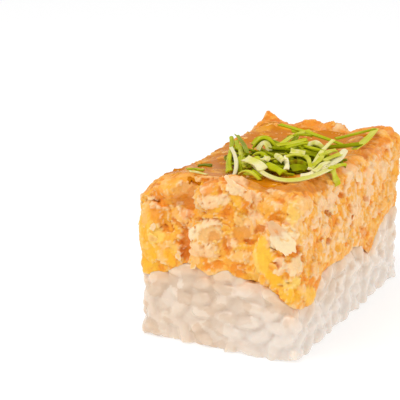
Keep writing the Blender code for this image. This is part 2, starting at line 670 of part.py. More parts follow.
# The scallion heap.


def heap_place(along, away, height):
    """A point from its place in the heap's own turned axes."""
    turn = Matrix.Rotation(math.radians(HEAP_TURN), 3, "Z")
    return Vector((*HEAP_CENTRE, 0.0)) + turn @ Vector((along, away, height))


def ground(tree, place):
    """The height of the shrimp layer's top round a place, or of the heap's foot beside the layer."""
    heights = []
    for step_x, step_y in ((0, 0), (1, 0), (0, 1), (-1, 0), (0, -1)):
        above = Vector((place.x + step_x * FOOTPRINT, place.y + step_y * FOOTPRINT, 2.0 * RIM_HEIGHT))
        hit, _, _, _ = tree.ray_cast(above, -UP)
        if hit:
            heights.append(hit.z)
    return max(heights, default=HEAP_FOOT)


def way_clear(tree, point, clearance):
    """The move that takes a point clear of the shrimp layer: up, or further out where it hangs down beside it."""
    if point.x < 0.5 * LAYER_WIDTH:
        return UP * max(0.0, ground(tree, point) + clearance - point.z)
    wall, _, _, _ = tree.ray_cast(Vector((2.0 * WIDTH, point.y, point.z)), -WALLS["right"])
    return WALLS["right"] * max(0.0, wall.x + SIDE_CLEARANCE - point.x) if wall else Vector()


def heap_height(along, away):
    """The height of the pile under its topmost shreds."""
    out = math.hypot(along, away) / HEAP_RADIUS
    return HEAP_FOOT + (HEAP_TOP - HEAP_FOOT) * max(0.0, 1.0 - out**4)


def heap_core(tree, scene_collection):
    """A low round mound that holds the shreds together, moulded to what it lies on."""
    shape = bmesh.new()

    def foot(along, away):
        place = heap_place(along, away, 0.0)
        return Vector((place.x, place.y, ground(tree, place) + HEAP_CLEARANCE))

    def crown(along, away):
        place = heap_place(along, away, heap_height(along, away) - CORE_SINK)
        return Vector((place.x, place.y, max(place.z, foot(along, away).z + CORE_SINK)))

    rims = [disc(shape, level, CORE_SHARE * HEAP_RADIUS) for level in (foot, crown)]
    for side, (below, above) in enumerate(zip(*rims)):
        shape.faces.new((rims[0][side - 1], below, above, rims[1][side - 1]))
    return add_object("scallion_heap", shape, scene_collection)


def disc(shape, level, radius):
    """A round sheet of faces whose height level(along, away) gives. Returns the points of its rim."""
    inner = [shape.verts.new(level(0.0, 0.0))] * CORE_SIDES
    for ring in range(1, CORE_RINGS + 1):
        reach = radius * ring / CORE_RINGS
        turns = [math.tau * side / CORE_SIDES for side in range(CORE_SIDES)]
        outer = [shape.verts.new(level(reach * math.cos(turn), reach * math.sin(turn))) for turn in turns]
        for side in range(CORE_SIDES):
            corners = (inner[side - 1], inner[side], outer[side], outer[side - 1])
            shape.faces.new(list(dict.fromkeys(corners)))
        inner = outer
    return inner


def shred(start, end, bow, rise, width, roll):
    """A strip from one point to the other that bows sideways and upwards."""
    shape = bmesh.new()
    run = end - start
    sideways = UP.cross(run).normalized()
    rings = []
    for step in range(SHRED_SEGMENTS + 1):
        share = step / SHRED_SEGMENTS
        arch = 4.0 * share * (1.0 - share)
        middle = start + run * share + sideways * bow * arch + UP * rise * arch
        slope = run + (sideways * bow + UP * rise) * 4.0 * (1.0 - 2.0 * share)
        across = UP.cross(slope).normalized()
        across = Matrix.Rotation(math.radians(roll), 3, slope.normalized()) @ across
        face_out = slope.normalized().cross(across)
        taper = 1.0 - SHRED_TAPER * max(0.0, 1.0 - 4.0 * min(share, 1.0 - share))
        half_width = across * 0.5 * width * taper
        half_thick = face_out * 0.5 * SHRED_THICKNESS
        corners = (half_width + half_thick, half_thick - half_width, -half_width - half_thick, half_width - half_thick)
        rings.append([shape.verts.new(middle + corner) for corner in corners])
    for before, after in zip(rings, rings[1:]):
        for side in range(4):
            following = (side + 1) % 4
            shape.faces.new((before[side], before[following], after[following], after[side]))
    shape.faces.new(rings[0])
    shape.faces.new(rings[-1])
    bmesh.ops.triangulate(shape, faces=shape.faces)
    return shape


def add_shred(collection, tree, number, row):
    along, away, height, far_along, far_away, far_height, bow, rise, width, roll = row
    start = heap_place(along, away, height)
    end = heap_place(far_along, far_away, far_height)
    shape = shred(start, end, bow, rise, width, roll)
    clearance = HEAP_CLEARANCE + (number + 1) * CLEARANCE_STEP
    verts = list(shape.verts)
    for first in range(0, len(verts), 4):
        section = verts[first : first + 4]
        shift = max((way_clear(tree, vert.co, clearance) for vert in section), key=lambda way: way.length)
        for vert in section:
            vert.co += shift
    add_object(f"shred_{number}", shape, collection)


def filler_row(dice):
    """A shred laid somewhere on the pile at a random heading."""
    heading = dice.uniform(0.0, math.pi)
    half = 0.5 * dice.uniform(*FILLER_LENGTH)
    reach = FILLER_REACH * HEAP_RADIUS * math.sqrt(dice.random())
    angle = dice.uniform(0.0, math.tau)
    along, away = reach * math.cos(angle), reach * math.sin(angle)
    step_along, step_away = half * math.cos(heading), half * math.sin(heading)
    ends = []
    for sign in (-1.0, 1.0):
        spot = (along + sign * step_along, away + sign * step_away)
        ends += [*spot, heap_height(*spot) - FILLER_SINK]
    bow = dice.uniform(-FILLER_BOW, FILLER_BOW)
    width = dice.uniform(*FILLER_WIDTH)
    roll = dice.uniform(-FILLER_ROLL, FILLER_ROLL)
    return (*ends, bow, FILLER_RISE, width, roll)


def scallion_heap(layer, scene_collection):
    shape = bmesh.new()
    shape.from_mesh(layer.data)
    bmesh.ops.scale(shape, vec=(1.0 / MM, 1.0 / MM, 1.0 / MM), verts=shape.verts)
    tree = BVHTree.FromBMesh(shape)
    shape.free()
    core = heap_core(tree, scene_collection)
    shreds = bpy.data.collections.new("shreds")
    scene_collection.children.link(shreds)
    dice = random.Random(HEAP_SEED)
    rows = list(SHREDS) + [filler_row(dice) for _ in range(FILLER_COUNT)]
    for number, row in enumerate(rows):
        add_shred(shreds, tree, number, row)
    fused(core, shreds)
    core.data.materials.append(material("scallion", SCALLION_COLOR, 0.42))
    return core


def main():
    clear_scene()
    scene_collection = bpy.context.scene.collection
    rice_block(scene_collection)
    layer = shrimp_tempura_layer(scene_collection)
    scallion_heap(layer, scene_collection)


main()
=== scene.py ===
"""The looks of one piece of shrimp tempura oshi sushi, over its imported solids.

Lengths are in millimetres until a mesh is made. The torn front faces -Y, the knife-cut side faces +X and the
underside of the rice is at Z 0.
"""

import math
import random

import bpy
import numpy as np
from mathutils import Matrix, Vector
from mathutils.bvhtree import BVHTree


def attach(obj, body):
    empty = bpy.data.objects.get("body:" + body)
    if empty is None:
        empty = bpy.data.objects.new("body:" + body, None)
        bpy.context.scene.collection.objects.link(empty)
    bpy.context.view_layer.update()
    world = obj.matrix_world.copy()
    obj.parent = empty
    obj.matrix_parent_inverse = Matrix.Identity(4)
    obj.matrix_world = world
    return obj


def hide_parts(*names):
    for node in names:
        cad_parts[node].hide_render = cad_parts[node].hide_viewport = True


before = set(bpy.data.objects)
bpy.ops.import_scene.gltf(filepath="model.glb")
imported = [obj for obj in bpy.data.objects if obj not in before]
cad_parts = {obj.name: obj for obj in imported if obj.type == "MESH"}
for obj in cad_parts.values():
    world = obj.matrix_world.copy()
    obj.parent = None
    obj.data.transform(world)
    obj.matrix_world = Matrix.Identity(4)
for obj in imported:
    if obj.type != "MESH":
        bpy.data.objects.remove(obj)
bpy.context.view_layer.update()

MM = 0.001
UP = Vector((0, 0, 1))

# The block, as its solids have it.
WIDTH = 40
DEPTH = 66
RIM_HEIGHT = 38.5
SEAM_HEIGHT = 16.5
CORNER_RADIUS = 2.2
LAYER_EDGE = 19.5
HALF_PLAN = np.array((0.5 * WIDTH, 0.5 * DEPTH))

WALLS = {
    "front": Vector((0, -1, 0)),
    "right": Vector((1, 0, 0)),
    "back": Vector((0, 1, 0)),
    "left": Vector((-1, 0, 0)),
}

# How far the shown pieces may reach: the least and greatest X, Y and Z of the solids, a little inside.
REACH = ((-20.45, -33.8, 0), (20.85, 33.2, 43.3))

# Colours, as they look: red, green and blue from 0 to 255.
PALETTE = {
    "cream": (255, 222, 174),
    "blush": (253, 205, 152),
    "peach": (253, 192, 108),
    "apricot": (251, 176, 56),
    "orange": (245, 148, 26),
    # Rust is the batter's own deep tone and also painted shade in its hollows and crevices; brown is painted
    # shade in a crevice.
    "rust": (224, 124, 26),
    "brown": (184, 98, 24),
    "yellow": (254, 194, 54),
    "gold": (255, 186, 30),
    "straw": (255, 212, 106),
    "tan": (240, 177, 88),
    "amber": (232, 150, 52),
    "salmon": (248, 160, 80),
    "pink": (250, 174, 108),
    "glaze": (206, 120, 0),
    "glaze_light": (232, 154, 24),
    "rice": (219, 194, 168),
    "rice_white": (240, 225, 208),
    "rice_cool": (230, 220, 210),
    # Painted shade for the rice's hollows and creases:
    "rice_crease_shade": (202, 164, 126),
    "rice_stained": (242, 200, 156),
    "moss": (106, 112, 0),
    "leaf": (132, 138, 0),
    "green": (162, 170, 2),
    "lime": (196, 196, 32),
    "pear": (214, 210, 92),
    "leek": (238, 228, 178),
    "olive": (122, 98, 0),
}


def linear(name):
    """A palette colour as linear red, green and blue."""
    return np.array([((part / 255.0 + 0.055) / 1.055) ** 2.4 for part in PALETTE[name]])


# Noise on arrays of points, in millimetres.

HASH_PRIMES = (73856093, 19349663, 83492791)
HASH_MIXERS = (2246822519, 3266489917)
WAVE_GAIN = 1.6
OCTAVE_FADE = 1.8
SCALE_BEND = 0.3
SCALE_RELIEF = 1.2


def scattered(corners, seed):
    """A random number from 0 to 1 for each whole-number cell, by mixing the bits of its place."""
    mixed = np.full(len(corners), np.uint32(seed * 7919 + 17), np.uint32)
    for axis, prime in enumerate(HASH_PRIMES):
        mixed ^= (corners[:, axis].astype(np.int64) * prime & 0xFFFFFFFF).astype(np.uint32)
        mixed = (mixed ^ (mixed >> np.uint32(15))) * np.uint32(HASH_MIXERS[0])
    mixed ^= mixed >> np.uint32(13)
    mixed *= np.uint32(HASH_MIXERS[1])
    mixed ^= mixed >> np.uint32(16)
    return mixed / 2.0**32


def scattered_points(corners, seed):
    """Three random numbers from 0 to 1 for each cell."""
    return np.stack([scattered(corners, seed + axis) for axis in range(3)], axis=1)


def waves(points, size, seed=0):
    """Smooth noise from about -1 to 1, with features of that size. size may differ along each axis."""
    spots = points / np.asarray(size, float)
    low = np.floor(spots)
    inside = spots - low
    ease = inside**3 * (inside * (inside * 6 - 15) + 10)
    total = np.zeros(len(points))
    for corner in np.ndindex(2, 2, 2):
        share = np.prod(np.where(corner, ease, 1 - ease), axis=1)
        way = scattered_points(low + corner, seed * 3) * 2 - 1
        total += share * np.sum(way * (inside - corner), axis=1)
    return total * WAVE_GAIN


def rough(points, size, seed=0, octaves=3):
    """Waves over finer waves."""
    total = np.zeros(len(points))
    for octave in range(octaves):
        finer = np.asarray(size, float) / 2.0**octave
        total += waves(points, finer, seed + octave * 11) / OCTAVE_FADE**octave
    return total


def cells(points, size, seed=0):
    """Irregular cells of that size: each point's depth inside its cell, a random number for the cell, and how
    far the point lies to the side that the cell leans to."""
    spots = points / np.asarray(size, float)
    home = np.floor(spots)
    nearest = np.full(len(points), math.inf)
    second = nearest.copy()
    lot = np.zeros(len(points))
    lean = np.zeros(len(points))
    for step in np.ndindex(3, 3, 3):
        cell = home + np.array(step) - 1
        apart = spots - (cell + scattered_points(cell, seed * 5))
        way = scattered_points(cell, seed * 7 + 40) - 0.5
        gap = np.sqrt(np.sum(apart**2, axis=1))
        closer = gap < nearest
        second = np.where(closer, nearest, np.minimum(second, gap))
        lot = np.where(closer, scattered(cell, seed * 5 + 3), lot)
        lean = np.where(closer, np.sum(way * apart, axis=1), lean)
        nearest = np.where(closer, gap, nearest)
    return second - nearest, lot, lean


def scales(points, size, seed):
    """Overlapping ragged scales: each cell leans its own way, so one edge stands out and the other lies
    under. Gives their relief, about -1 to 1, and a random number for each."""
    size = np.asarray(size, float)
    bend = np.stack([waves(points, 2 * SCALE_BEND * size, seed + axis) for axis in range(3)], axis=1)
    _, lot, lean = cells(points + SCALE_BEND * size * bend, size, seed + 3)
    return SCALE_RELIEF * (lot - 0.5 + lean), lot


def ramp(values, low, high):
    """0 under low, 1 over high and smooth between."""
    share = np.clip((values - low) / (high - low), 0, 1)
    return share * share * (3 - 2 * share)


def blended(colors, name, share):
    """Mixes a palette colour into an array of colours."""
    return colors + (linear(name) - colors) * np.clip(share, 0, 1)[:, None]


def tinted(colors, tint, values, where=1):
    """Mixes in a tint as the values rise."""
    name, strength, low, high = tint
    return blended(colors, name, strength * ramp(values, low, high) * where)


def graded(values, names):
    """Colours that step through the named ones as the values go from 0 to 1."""
    stops = np.array([linear(name) for name in names])
    place = np.clip(values, 0, 0.9999) * (len(names) - 1)
    low = place.astype(int)
    share = ramp(place - low, 0.2, 0.8)[:, None]
    return stops[low] * (1 - share) + stops[low + 1] * share


# Meshes.


def new_object(name, data):
    thing = bpy.data.objects.new(name, data)
    bpy.context.scene.collection.objects.link(thing)
    return thing


def raw_mesh(name, parts):
    """One mesh from parts that start with their points, in millimetres, and their faces."""
    faces = []
    start = 0
    for points, corners, *_ in parts:
        faces += [[corner + start for corner in face] for face in corners]
        start += len(points)
    mesh = bpy.data.meshes.new(name)
    mesh.from_pydata((np.concatenate([part[0] for part in parts]) * MM).tolist(), [], faces)
    mesh.update()
    mesh.shade_smooth()
    return mesh


def remeshed(mesh, name, voxel):
    """One even skin round everything in a mesh, a little smoothed."""
    thing = new_object(name, mesh)
    skin = thing.modifiers.new("Skin", "REMESH")
    skin.mode = "VOXEL"
    skin.voxel_size = voxel * MM
    graph = bpy.context.evaluated_depsgraph_get()
    made = bpy.data.meshes.new_from_object(thing.evaluated_get(graph))
    bpy.data.objects.remove(thing)
    made.name = name
    made.shade_smooth()
    put(made, averaged(made, places(made), SKIN_ROUNDS))
    return made


def triples(items, name):
    flat = np.empty(len(items) * 3, np.float32)
    items.foreach_get(name, flat)
    return flat.reshape(-1, 3).astype(float)


def places(mesh):
    """The points of a mesh, in millimetres."""
    return triples(mesh.vertices, "co") / MM


def put(mesh, points):
    """Moves a mesh's points, none of them beyond the solids' reach."""
    kept = np.clip(points, *REACH) * MM
    mesh.vertices.foreach_set("co", kept.astype(np.float32).ravel())
    mesh.update()


def normals(mesh):
    return triples(mesh.vertex_normals, "vector")


def length_one(vectors):
    return vectors / np.linalg.norm(vectors, axis=-1, keepdims=True)


# Rounds of averaging: for a new skin, for the side that each point faces and for fine hollows.
SKIN_ROUNDS = 3
FACING_ROUNDS = 8
FINE_ROUNDS = 5


def averaged(mesh, values, rounds):
    """Values at a mesh's points, each round averaged with their neighbours'."""
    ends = np.empty(len(mesh.edges) * 2, np.int32)
    mesh.edges.foreach_get("vertices", ends)
    near, far = ends.reshape(-1, 2).T
    size = len(values)
    count = np.maximum(np.bincount(ends, minlength=size), 1)[:, None]
    for _ in range(rounds):
        sums = [np.bincount(near, part[far], size) + np.bincount(far, part[near], size) for part in values.T]
        values = 0.5 * values + 0.5 * np.stack(sums, axis=1) / count
    return values


def hollowness(mesh, rounds):
    """How far each point lies below its surroundings, in millimetres."""
    points = places(mesh)
    return np.sum((averaged(mesh, points, rounds) - points) * normals(mesh), axis=1)


def paint(mesh, colors):
    """Stores a colour for each point, which the material reads."""
    layer = mesh.color_attributes.new("tone", "FLOAT_COLOR", "POINT")
    full = np.ones((len(mesh.vertices), 4), np.float32)
    full[:, :3] = np.clip(colors, 0, 1)
    layer.data.foreach_set("color", full.ravel())


def tree_of(mesh):
    """For finding a surface, in millimetres."""
    points = [vert.co / MM for vert in mesh.vertices]
    return BVHTree.FromPolygons(points, [face.vertices[:] for face in mesh.polygons])


def top_under(tree, x, y, otherwise=0):
    """The height of a surface's top at a place."""
    hit = tree.ray_cast(Vector((x, y, 2 * RIM_HEIGHT)), -UP)[0]
    return hit.z if hit else otherwise


def rotation(degrees, axis):
    return Matrix.Rotation(math.radians(degrees), 3, axis)


# Places on the walls.


def wall_length(normal):
    return WIDTH if normal.y else DEPTH


def wall_place(normal, along, height, depth=0):
    """A place on a wall, or that deep behind it."""
    if normal.y:
        return normal * (0.5 * DEPTH - depth) + Vector((along, 0, height))
    return normal * (0.5 * WIDTH - depth) + Vector((0, along, height))


def wall_axes(normal):
    """The ways along a wall, up and out of it."""
    return Matrix((UP.cross(normal), UP, normal)).transposed()


# Materials: least and greatest roughness, how much light shines through and how far, the size and height of
# the fine grain, how much it varies the colour, clear coat and shine.

MATERIALS = {
    "batter": ((0.3, 0.6), 0.2, (1.2, 0.6, 0.3), 0.8, 0.24, 0.1, 0.04, 0.3),
    "flakes": ((0.3, 0.6), 0.2, (1.2, 0.6, 0.3), 0.8, 0.2, 0.08, 0.04, 0.3),
    "glaze": ((0.14, 0.3), 0.1, (1.2, 0.5, 0.1), 1.6, 0.15, 0.08, 0, 0.02),
    "rice": ((0.16, 0.34), 0.75, (1.6, 1.3, 1.1), 1.2, 0.1, 0.02, 0.4, 0.4),
    "scallion": ((0.3, 0.45), 0.15, (0.6, 0.8, 0.1), 0.5, 0.05, 0.1, 0, 0.03),
}
COAT_ROUGHNESS = 0.15


def set_inputs(node, values):
    for name, value in values.items():
        node.inputs[name].default_value = value
    return node


def new_material(name):
    made = bpy.data.materials.new(name)
    made.use_nodes = True
    return made, made.node_tree.nodes["Principled BSDF"]


def food_material(name):
    """Principled, coloured by each point's tone and a fine noise, with bump and uneven roughness."""
    roughness, glow, glow_reach, grain, bump, variation, coat, shine = MATERIALS[name]
    made, shader = new_material(name)
    new = made.node_tree.nodes.new
    link = made.node_tree.links.new
    set_inputs(shader, {"Subsurface Weight": glow, "Subsurface Radius": glow_reach, "Subsurface Scale": MM})
    set_inputs(shader, {"Coat Weight": coat, "Coat Roughness": COAT_ROUGHNESS, "Specular IOR Level": shine})
    fine = set_inputs(new("ShaderNodeTexNoise"), {"Scale": 1 / (grain * MM), "Detail": 5, "Roughness": 0.62})
    link(new("ShaderNodeTexCoord").outputs["Object"], fine.inputs["Vector"])
    tone = new("ShaderNodeAttribute")
    tone.attribute_name = "tone"
    spread = set_inputs(new("ShaderNodeMapRange"), {"From Min": 0.25, "From Max": 0.75})
    set_inputs(spread, {"To Min": 1 - variation, "To Max": 1 + variation})
    shade = new("ShaderNodeVectorMath")
    shade.operation = "SCALE"
    sheen = set_inputs(new("ShaderNodeMapRange"), {"To Min": roughness[0], "To Max": roughness[1]})
    relief = set_inputs(new("ShaderNodeBump"), {"Distance": bump * MM})
    for node, name in ((spread, "Value"), (sheen, "Value"), (relief, "Height")):
        link(fine.outputs["Fac"], node.inputs[name])
    link(tone.outputs["Color"], shade.inputs[0])
    link(spread.outputs["Result"], shade.inputs["Scale"])
    link(shade.outputs["Vector"], shader.inputs["Base Color"])
    link(sheen.outputs["Result"], shader.inputs["Roughness"])
    link(relief.outputs["Normal"], shader.inputs["Normal"])
    return made


def add_piece(name, mesh, colors, material, slot, *nodes):
    """A shown piece: its colours, its material, its body and the solids it stands for."""
    paint(mesh, colors)
    mesh.materials.clear()
    mesh.materials.append(food_material(material))
    thing = new_object(name, mesh)
    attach(thing, "root")
    if nodes:
        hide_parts(*nodes)


def add_loose_piece(name, parts, crease, slot, *nodes):
    """A piece of many parts, each its points, faces and colours, with edges crisp beyond that angle."""
    mesh = raw_mesh(name, parts)
    put(mesh, places(mesh))
    mesh.set_sharp_from_angle(angle=math.radians(crease))
    add_piece(name, mesh, np.concatenate([colors for _, _, colors in parts]), name, slot, *nodes)


# The seam between rice and batter, as the solids have it: how deep its swells run in from the walls, and the
# place, height and spread of each.
SEAM_DEPTH = 6
SEAM_SWELLS = (
    (-19.2, -33, -1.9, 4),
    (-6.1, -33, 3, 3),
    (3.1, -33, 2.3, 2.2),
    (9.5, -33, 1.6, 3),
    (19.3, -33, -2.7, 2.6),
    (20, -26, -5.4, 4.4),
    (20, -13.8, 0.9, 3),
    (20, 0, 1, 2.5),
    (20, 12.8, -5, 3),
    (20, 27, 4.2, 6),
    (3.8, 33, 2, 5),
    (-11.4, 33, -3, 5),
    (-20, 9.1, -2.6, 5),
    (-20, -15.9, 1.4, 5),
)


def seam_height(points):
    """The height of the seam near the walls, at each point."""
    flat = points[:, :2]
    inside = np.min(HALF_PLAN - np.abs(flat), axis=1)
    weight = np.clip(1 - inside / SEAM_DEPTH, 0, 1)
    flat = flat / np.maximum(np.max(np.abs(flat) / HALF_PLAN, axis=1), 0.01)[:, None]
    rise = np.zeros(len(points))
    for *spot, height, spread in SEAM_SWELLS:
        rise += height * np.exp(-0.5 * np.sum((flat - spot) ** 2, axis=1) / spread**2)
    return SEAM_HEIGHT + weight * rise


# The glaze on the top: where its middle is, how far it reaches and how it lies.

GLAZE_MIDDLE = (-2, -1.4)
GLAZE_REACH = (16.6, 28.8)
GLAZE_SQUARENESS = (6, 10)
GLAZE_STEP = 0.5
GLAZE_ROUNDS = 12
GLAZE_LIFT = 0.2
GLAZE_DEPTH = 0.7
GLAZE_SAG = 3.2
GLAZE_EDGE = (0.5, 0.95)
GLAZE_DIP = 1.3
GLAZE_TONES = ("glaze", "glaze", "glaze_light")


# The shrimp and batter layer.

LAYER_VOXEL = 0.36

# Ragged scales of the torn walls, upright dabs of the cut ones and lumps of the top: size, relief and share
# in the colour.
TORN_SCALES = ((4.6, 0.5, 0.3), (2.4, 0.42, 0.45), (1.3, 0.2, 0.25))
CUT_SCALES = (((3.6, 3.6, 4.2), 0.4, 0.35), ((1.8, 1.8, 2.3), 0.4, 0.4), ((1, 1, 1.2), 0.22, 0.25))
TOP_SCALES = ((3, 0.36, 0.5), (1.5, 0.22, 0.5))
TORN_TONES = ("orange", "apricot", "apricot", "peach", "blush")
CUT_TONES = ("orange", "apricot", "apricot", "peach", "blush", "blush")
TOP_TONES = ("rust", "orange", "apricot", "peach")
CRUMB_SIZE = 0.9
CRUMB_RELIEF = 0.1

# How much relief is left at the rice, how far above it the relief is whole, and how far the underside hangs.
SEAM_RELIEF = 0.35
SEAM_FADE = 2
UNDERSIDE_DROP = 0.45

# How much deeper the colours get towards the rice, and between which heights.
LOWER_TONE = 0.16
LOWER_TOP = 28
LOWER_FOOT = 20

# Tints: a colour, its greatest share, and the values at which it starts and is full.
YELLOW_SPOTS = ("yellow", 0.5, 0.1, 0.4)
GLAZE_STAIN = ("glaze_light", 0.7, -0.5, 0.2)
ORANGE_RIM = ("orange", 0.6, -0.45, 0.25)
RIM_BAND = 4
# Painted shade: deeper orange in the broad hollows and rust in the fine ones. Painted highlight: cream on the
# fine ridges.
BROAD_ROUNDS = 20
BROAD_HOLLOW_SHADE = ("orange", 0.6, 0.15, 0.5)
FINE_HOLLOW_SHADE = ("rust", 0.7, 0.1, 0.36)
RIDGE_HIGHLIGHT = ("cream", 0.65, 0.06, 0.24)

# Places on the walls with a colour and relief of their own: along, height, half width, half tallness, turn in
# degrees, colour, strength and how far it stands out.
# The rust and brown patches, all sunken, are painted shade in crevices.
FRONT_PATCHES = (
    (-17, 22.5, 4, 8, 0, "yellow", 0.6, 0),
    (-14, 30, 1.8, 3.6, 0, "orange", 0.8, 0.3),
    (-14, 34, 2.2, 1.4, 14, "orange", 0.6, 0),
    (-17.5, 28, 0.9, 2.2, 0, "peach", 0.8, 0),
    (-14.5, 24.5, 2, 2.6, -15, "straw", 0.8, 0.3),
    (-15, 20.5, 0.8, 2.2, 22, "gold", 0.9, -0.2),
    (-16.5, 17.5, 2.2, 1.2, 0, "gold", 0.6, 0),
    (-11, 20, 0.9, 1.8, 40, "gold", 0.8, 0),
    (-7.1, 23.9, 1.5, 3.8, 0, "rust", 1, -0.9),
    (-9, 27.3, 2.6, 0.6, -29, "rust", 0.8, -0.5),
    (-8, 32.8, 3.4, 2, 0, "amber", 0.8, -0.4),
    (-7.4, 35.6, 2.6, 1.3, 10, "tan", 0.8, -0.2),
    (-7.4, 29.8, 1.5, 1, 17, "pink", 0.9, 0.3),
    (-9.6, 31.5, 0.8, 0.7, 0, "cream", 0.7, 0.2),
    (-3.8, 33.5, 0.9, 2.8, 0, "peach", 0.8, 0.5),
    (-1.5, 37, 2.4, 1.4, 12, "salmon", 0.8, 0.4),
    (1.6, 36.6, 0.5, 1.4, 10, "rust", 0.7, -0.3),
    (-0.4, 34.2, 2.3, 1.6, 15, "blush", 1, 0.5),
    (2.5, 35, 1.4, 1.3, 30, "cream", 0.8, 0.4),
    (2.5, 31.8, 2, 0.7, 20, "orange", 0.8, -0.3),
    (-1.4, 29.9, 3.6, 0.4, 7, "brown", 0.8, -0.8),
    (-1.2, 27.3, 3.8, 2.7, 17, "cream", 0.9, 0.9),
    (-0.4, 27, 3, 2, 17, "tan", 0.8, -0.3),
    (0.3, 26.5, 1.4, 1.2, 35, "amber", 0.7, -0.3),
    (-2.4, 22.9, 3.6, 1.7, 8, "blush", 0.7, 0.4),
    (0, 19.6, 2.6, 1, 15, "orange", 0.9, -0.3),
    (3.2, 25.4, 1.1, 2.2, 0, "rust", 0.7, -0.5),
    (3.7, 23.6, 1.2, 1, 24, "rust", 0.7, -0.3),
    (6.2, 22.8, 2.4, 1.2, 15, "peach", 0.9, 0.5),
    (6.5, 20.6, 2.1, 0.8, 10, "orange", 0.8, -0.2),
    (5, 37.8, 2.2, 1.5, -20, "cream", 1, 0.6),
    (8.8, 36.2, 1.9, 1.2, -10, "blush", 0.9, 0.4),
    (13, 37, 2.6, 0.8, 0, "peach", 0.8, 0.3),
    (11.5, 34, 2.1, 1.6, 20, "apricot", 0.9, -0.2),
    (13.6, 32, 0.9, 1.4, -25, "orange", 0.8, -0.4),
    (10.4, 29.2, 1.6, 0.9, 25, "rust", 0.8, -0.6),
    (8.6, 31.8, 1, 1.6, 12, "blush", 0.9, 0.4),
    (6.4, 27.4, 2, 1.8, 30, "amber", 0.8, -0.3),
    (11.4, 25.4, 1.9, 2.9, -5, "yellow", 1, 0.3),
    (12.8, 22.4, 2.1, 3.2, 26, "yellow", 1, 0.3),
    (14.6, 19.4, 1.8, 2, 26, "gold", 1, 0.2),
    (10.3, 23.2, 0.6, 2.8, 14, "straw", 0.8, 0.3),
    (16.2, 28.4, 2.1, 3.1, -30, "cream", 1, 0.5),
    (15.8, 27.6, 0.8, 1.8, -30, "apricot", 0.6, 0),
    (15.9, 22.3, 1.4, 1.8, -14, "blush", 1, 0.5),
    (18.6, 22.3, 1.2, 1.8, -8, "cream", 0.8, 0.4),
    (17.8, 25, 1.3, 0.7, 0, "orange", 0.9, -0.3),
    (17.9, 18.6, 1.5, 1.5, 0, "straw", 0.9, 0.3),
    (17.8, 16, 1.8, 1.3, 0, "yellow", 0.9, 0.2),
    (17.8, 34, 1.2, 2.6, 0, "straw", 0.8, 0.3),
)
RIGHT_PATCHES = (
    # The rust patches, all sunken, are painted shade in crevices.
    (-32, 15.6, 1.4, 2, 30, "gold", 0.8, -0.2),
    (-26, 14.2, 4.2, 1.7, -20, "yellow", 0.8, 0.3),
    (-30.5, 25.8, 1.6, 0.8, -20, "rust", 0.9, -0.7),
    (-28.8, 23.2, 1.6, 0.8, -20, "rust", 0.9, -0.7),
    (-21.7, 30, 1.3, 0.9, -30, "rust", 1, -0.9),
    (-15.5, 29.8, 1.2, 0.8, -18, "rust", 0.9, -0.8),
    (-15.2, 23.2, 1.4, 0.7, -20, "rust", 1, -0.8),
    (-7, 31.6, 1.3, 0.7, -15, "rust", 0.9, -0.7),
    (6.8, 27.2, 1.6, 0.6, -20, "rust", 0.7, -0.5),
    (-28.8, 35.2, 2.4, 1.6, 0, "peach", 0.8, 0.2),
    (-20, 33.2, 2.6, 1.6, 0, "blush", 0.8, 0.2),
    (-16.9, 26.4, 2.4, 1.4, 0, "blush", 0.8, 0.2),
    (-2.9, 36.2, 3.2, 1.6, -10, "blush", 0.9, 0.3),
    (1, 27, 3.2, 2.4, -10, "blush", 0.9, 0.3),
    (7.6, 33.4, 2.6, 2.4, -20, "blush", 0.9, 0.3),
    (17.9, 31.8, 3, 2.2, -20, "blush", 0.8, 0.3),
    (6.9, 18.9, 4, 1.6, -18, "orange", 0.9, -0.3),
    (12, 14, 2.4, 2.4, 0, "orange", 0.8, 0),
    (19, 23.6, 5, 2, 0, "apricot", 0.8, 0),
    (1, 38.6, 5.3, 1.3, 0, "orange", 0.8, 0),
    (17.5, 35.6, 4.6, 1.4, 0, "orange", 0.8, -0.2),
    (26, 30, 4, 7, 0, "apricot", 0.9, 0),
    (-24, 22, 3, 3, 0, "apricot", 0.5, 0),
)
PATCH_STRENGTH = 0.9
SMOOTH_TONES = ("yellow", "gold", "straw", "tan", "amber")
SMOOTHING = 0.6

# Where the glaze has run over the rim: x, y, length, width and heading in degrees, and the colour.
GLAZE_RUNS = (
    (12.4, -28.3, 12, 2.8, 16, "glaze"),
    (17.9, -21.8, 15, 2.8, 77, "glaze"),
)
RUN_STRENGTH = 0.7
RUN_FOOT = 34.8
RUN_FADE = 1.4

# Loose bits of green on the rim: x, y, length, width and heading in degrees, and the colour.
LOOSE_GREEN = (
    (-10.7, -16.5, 3, 1.5, 20, "moss"),
    (-9.3, -23.7, 4, 0.9, 10, "green"),
    (-6.9, -26.7, 4.2, 0.8, 12, "pear"),
)


def wall_shares(outward):
    """How much each point belongs to the front or back, to the sides and to the top."""
    torn = ramp(np.abs(outward[:, 1]), 0.3, 0.7)
    cut = ramp(np.abs(outward[:, 0]), 0.3, 0.7) * (1 - torn)
    top = ramp(outward[:, 2], 0.45, 0.8)
    return torn, cut, top


def turned(one, other, degrees):
    """Two coordinates in axes that are turned by that angle."""
    angle = math.radians(degrees)
    return one * math.cos(angle) + other * math.sin(angle), other * math.cos(angle) - one * math.sin(angle)


def patch_shares(points, outward):
    """How much of each patch every point has, with ragged edges."""
    ragged = 0.3 * waves(points, 1.4, 40) + 0.25 * waves(points, 0.7, 41)
    walls = ((FRONT_PATCHES, points[:, 0], -outward[:, 1]), (RIGHT_PATCHES, points[:, 1], outward[:, 0]))
    for rows, lengthwise, facing in walls:
        on_wall = ramp(facing, 0, 0.4)
        for along, height, half_width, half_tall, turn, name, strength, out in rows:
            one, other = turned(lengthwise - along, points[:, 2] - height, turn)
            edge = np.hypot(one / half_width, other / half_tall) + ragged
            yield name, out, strength * ramp(-edge, -1.12, -0.88) * on_wall


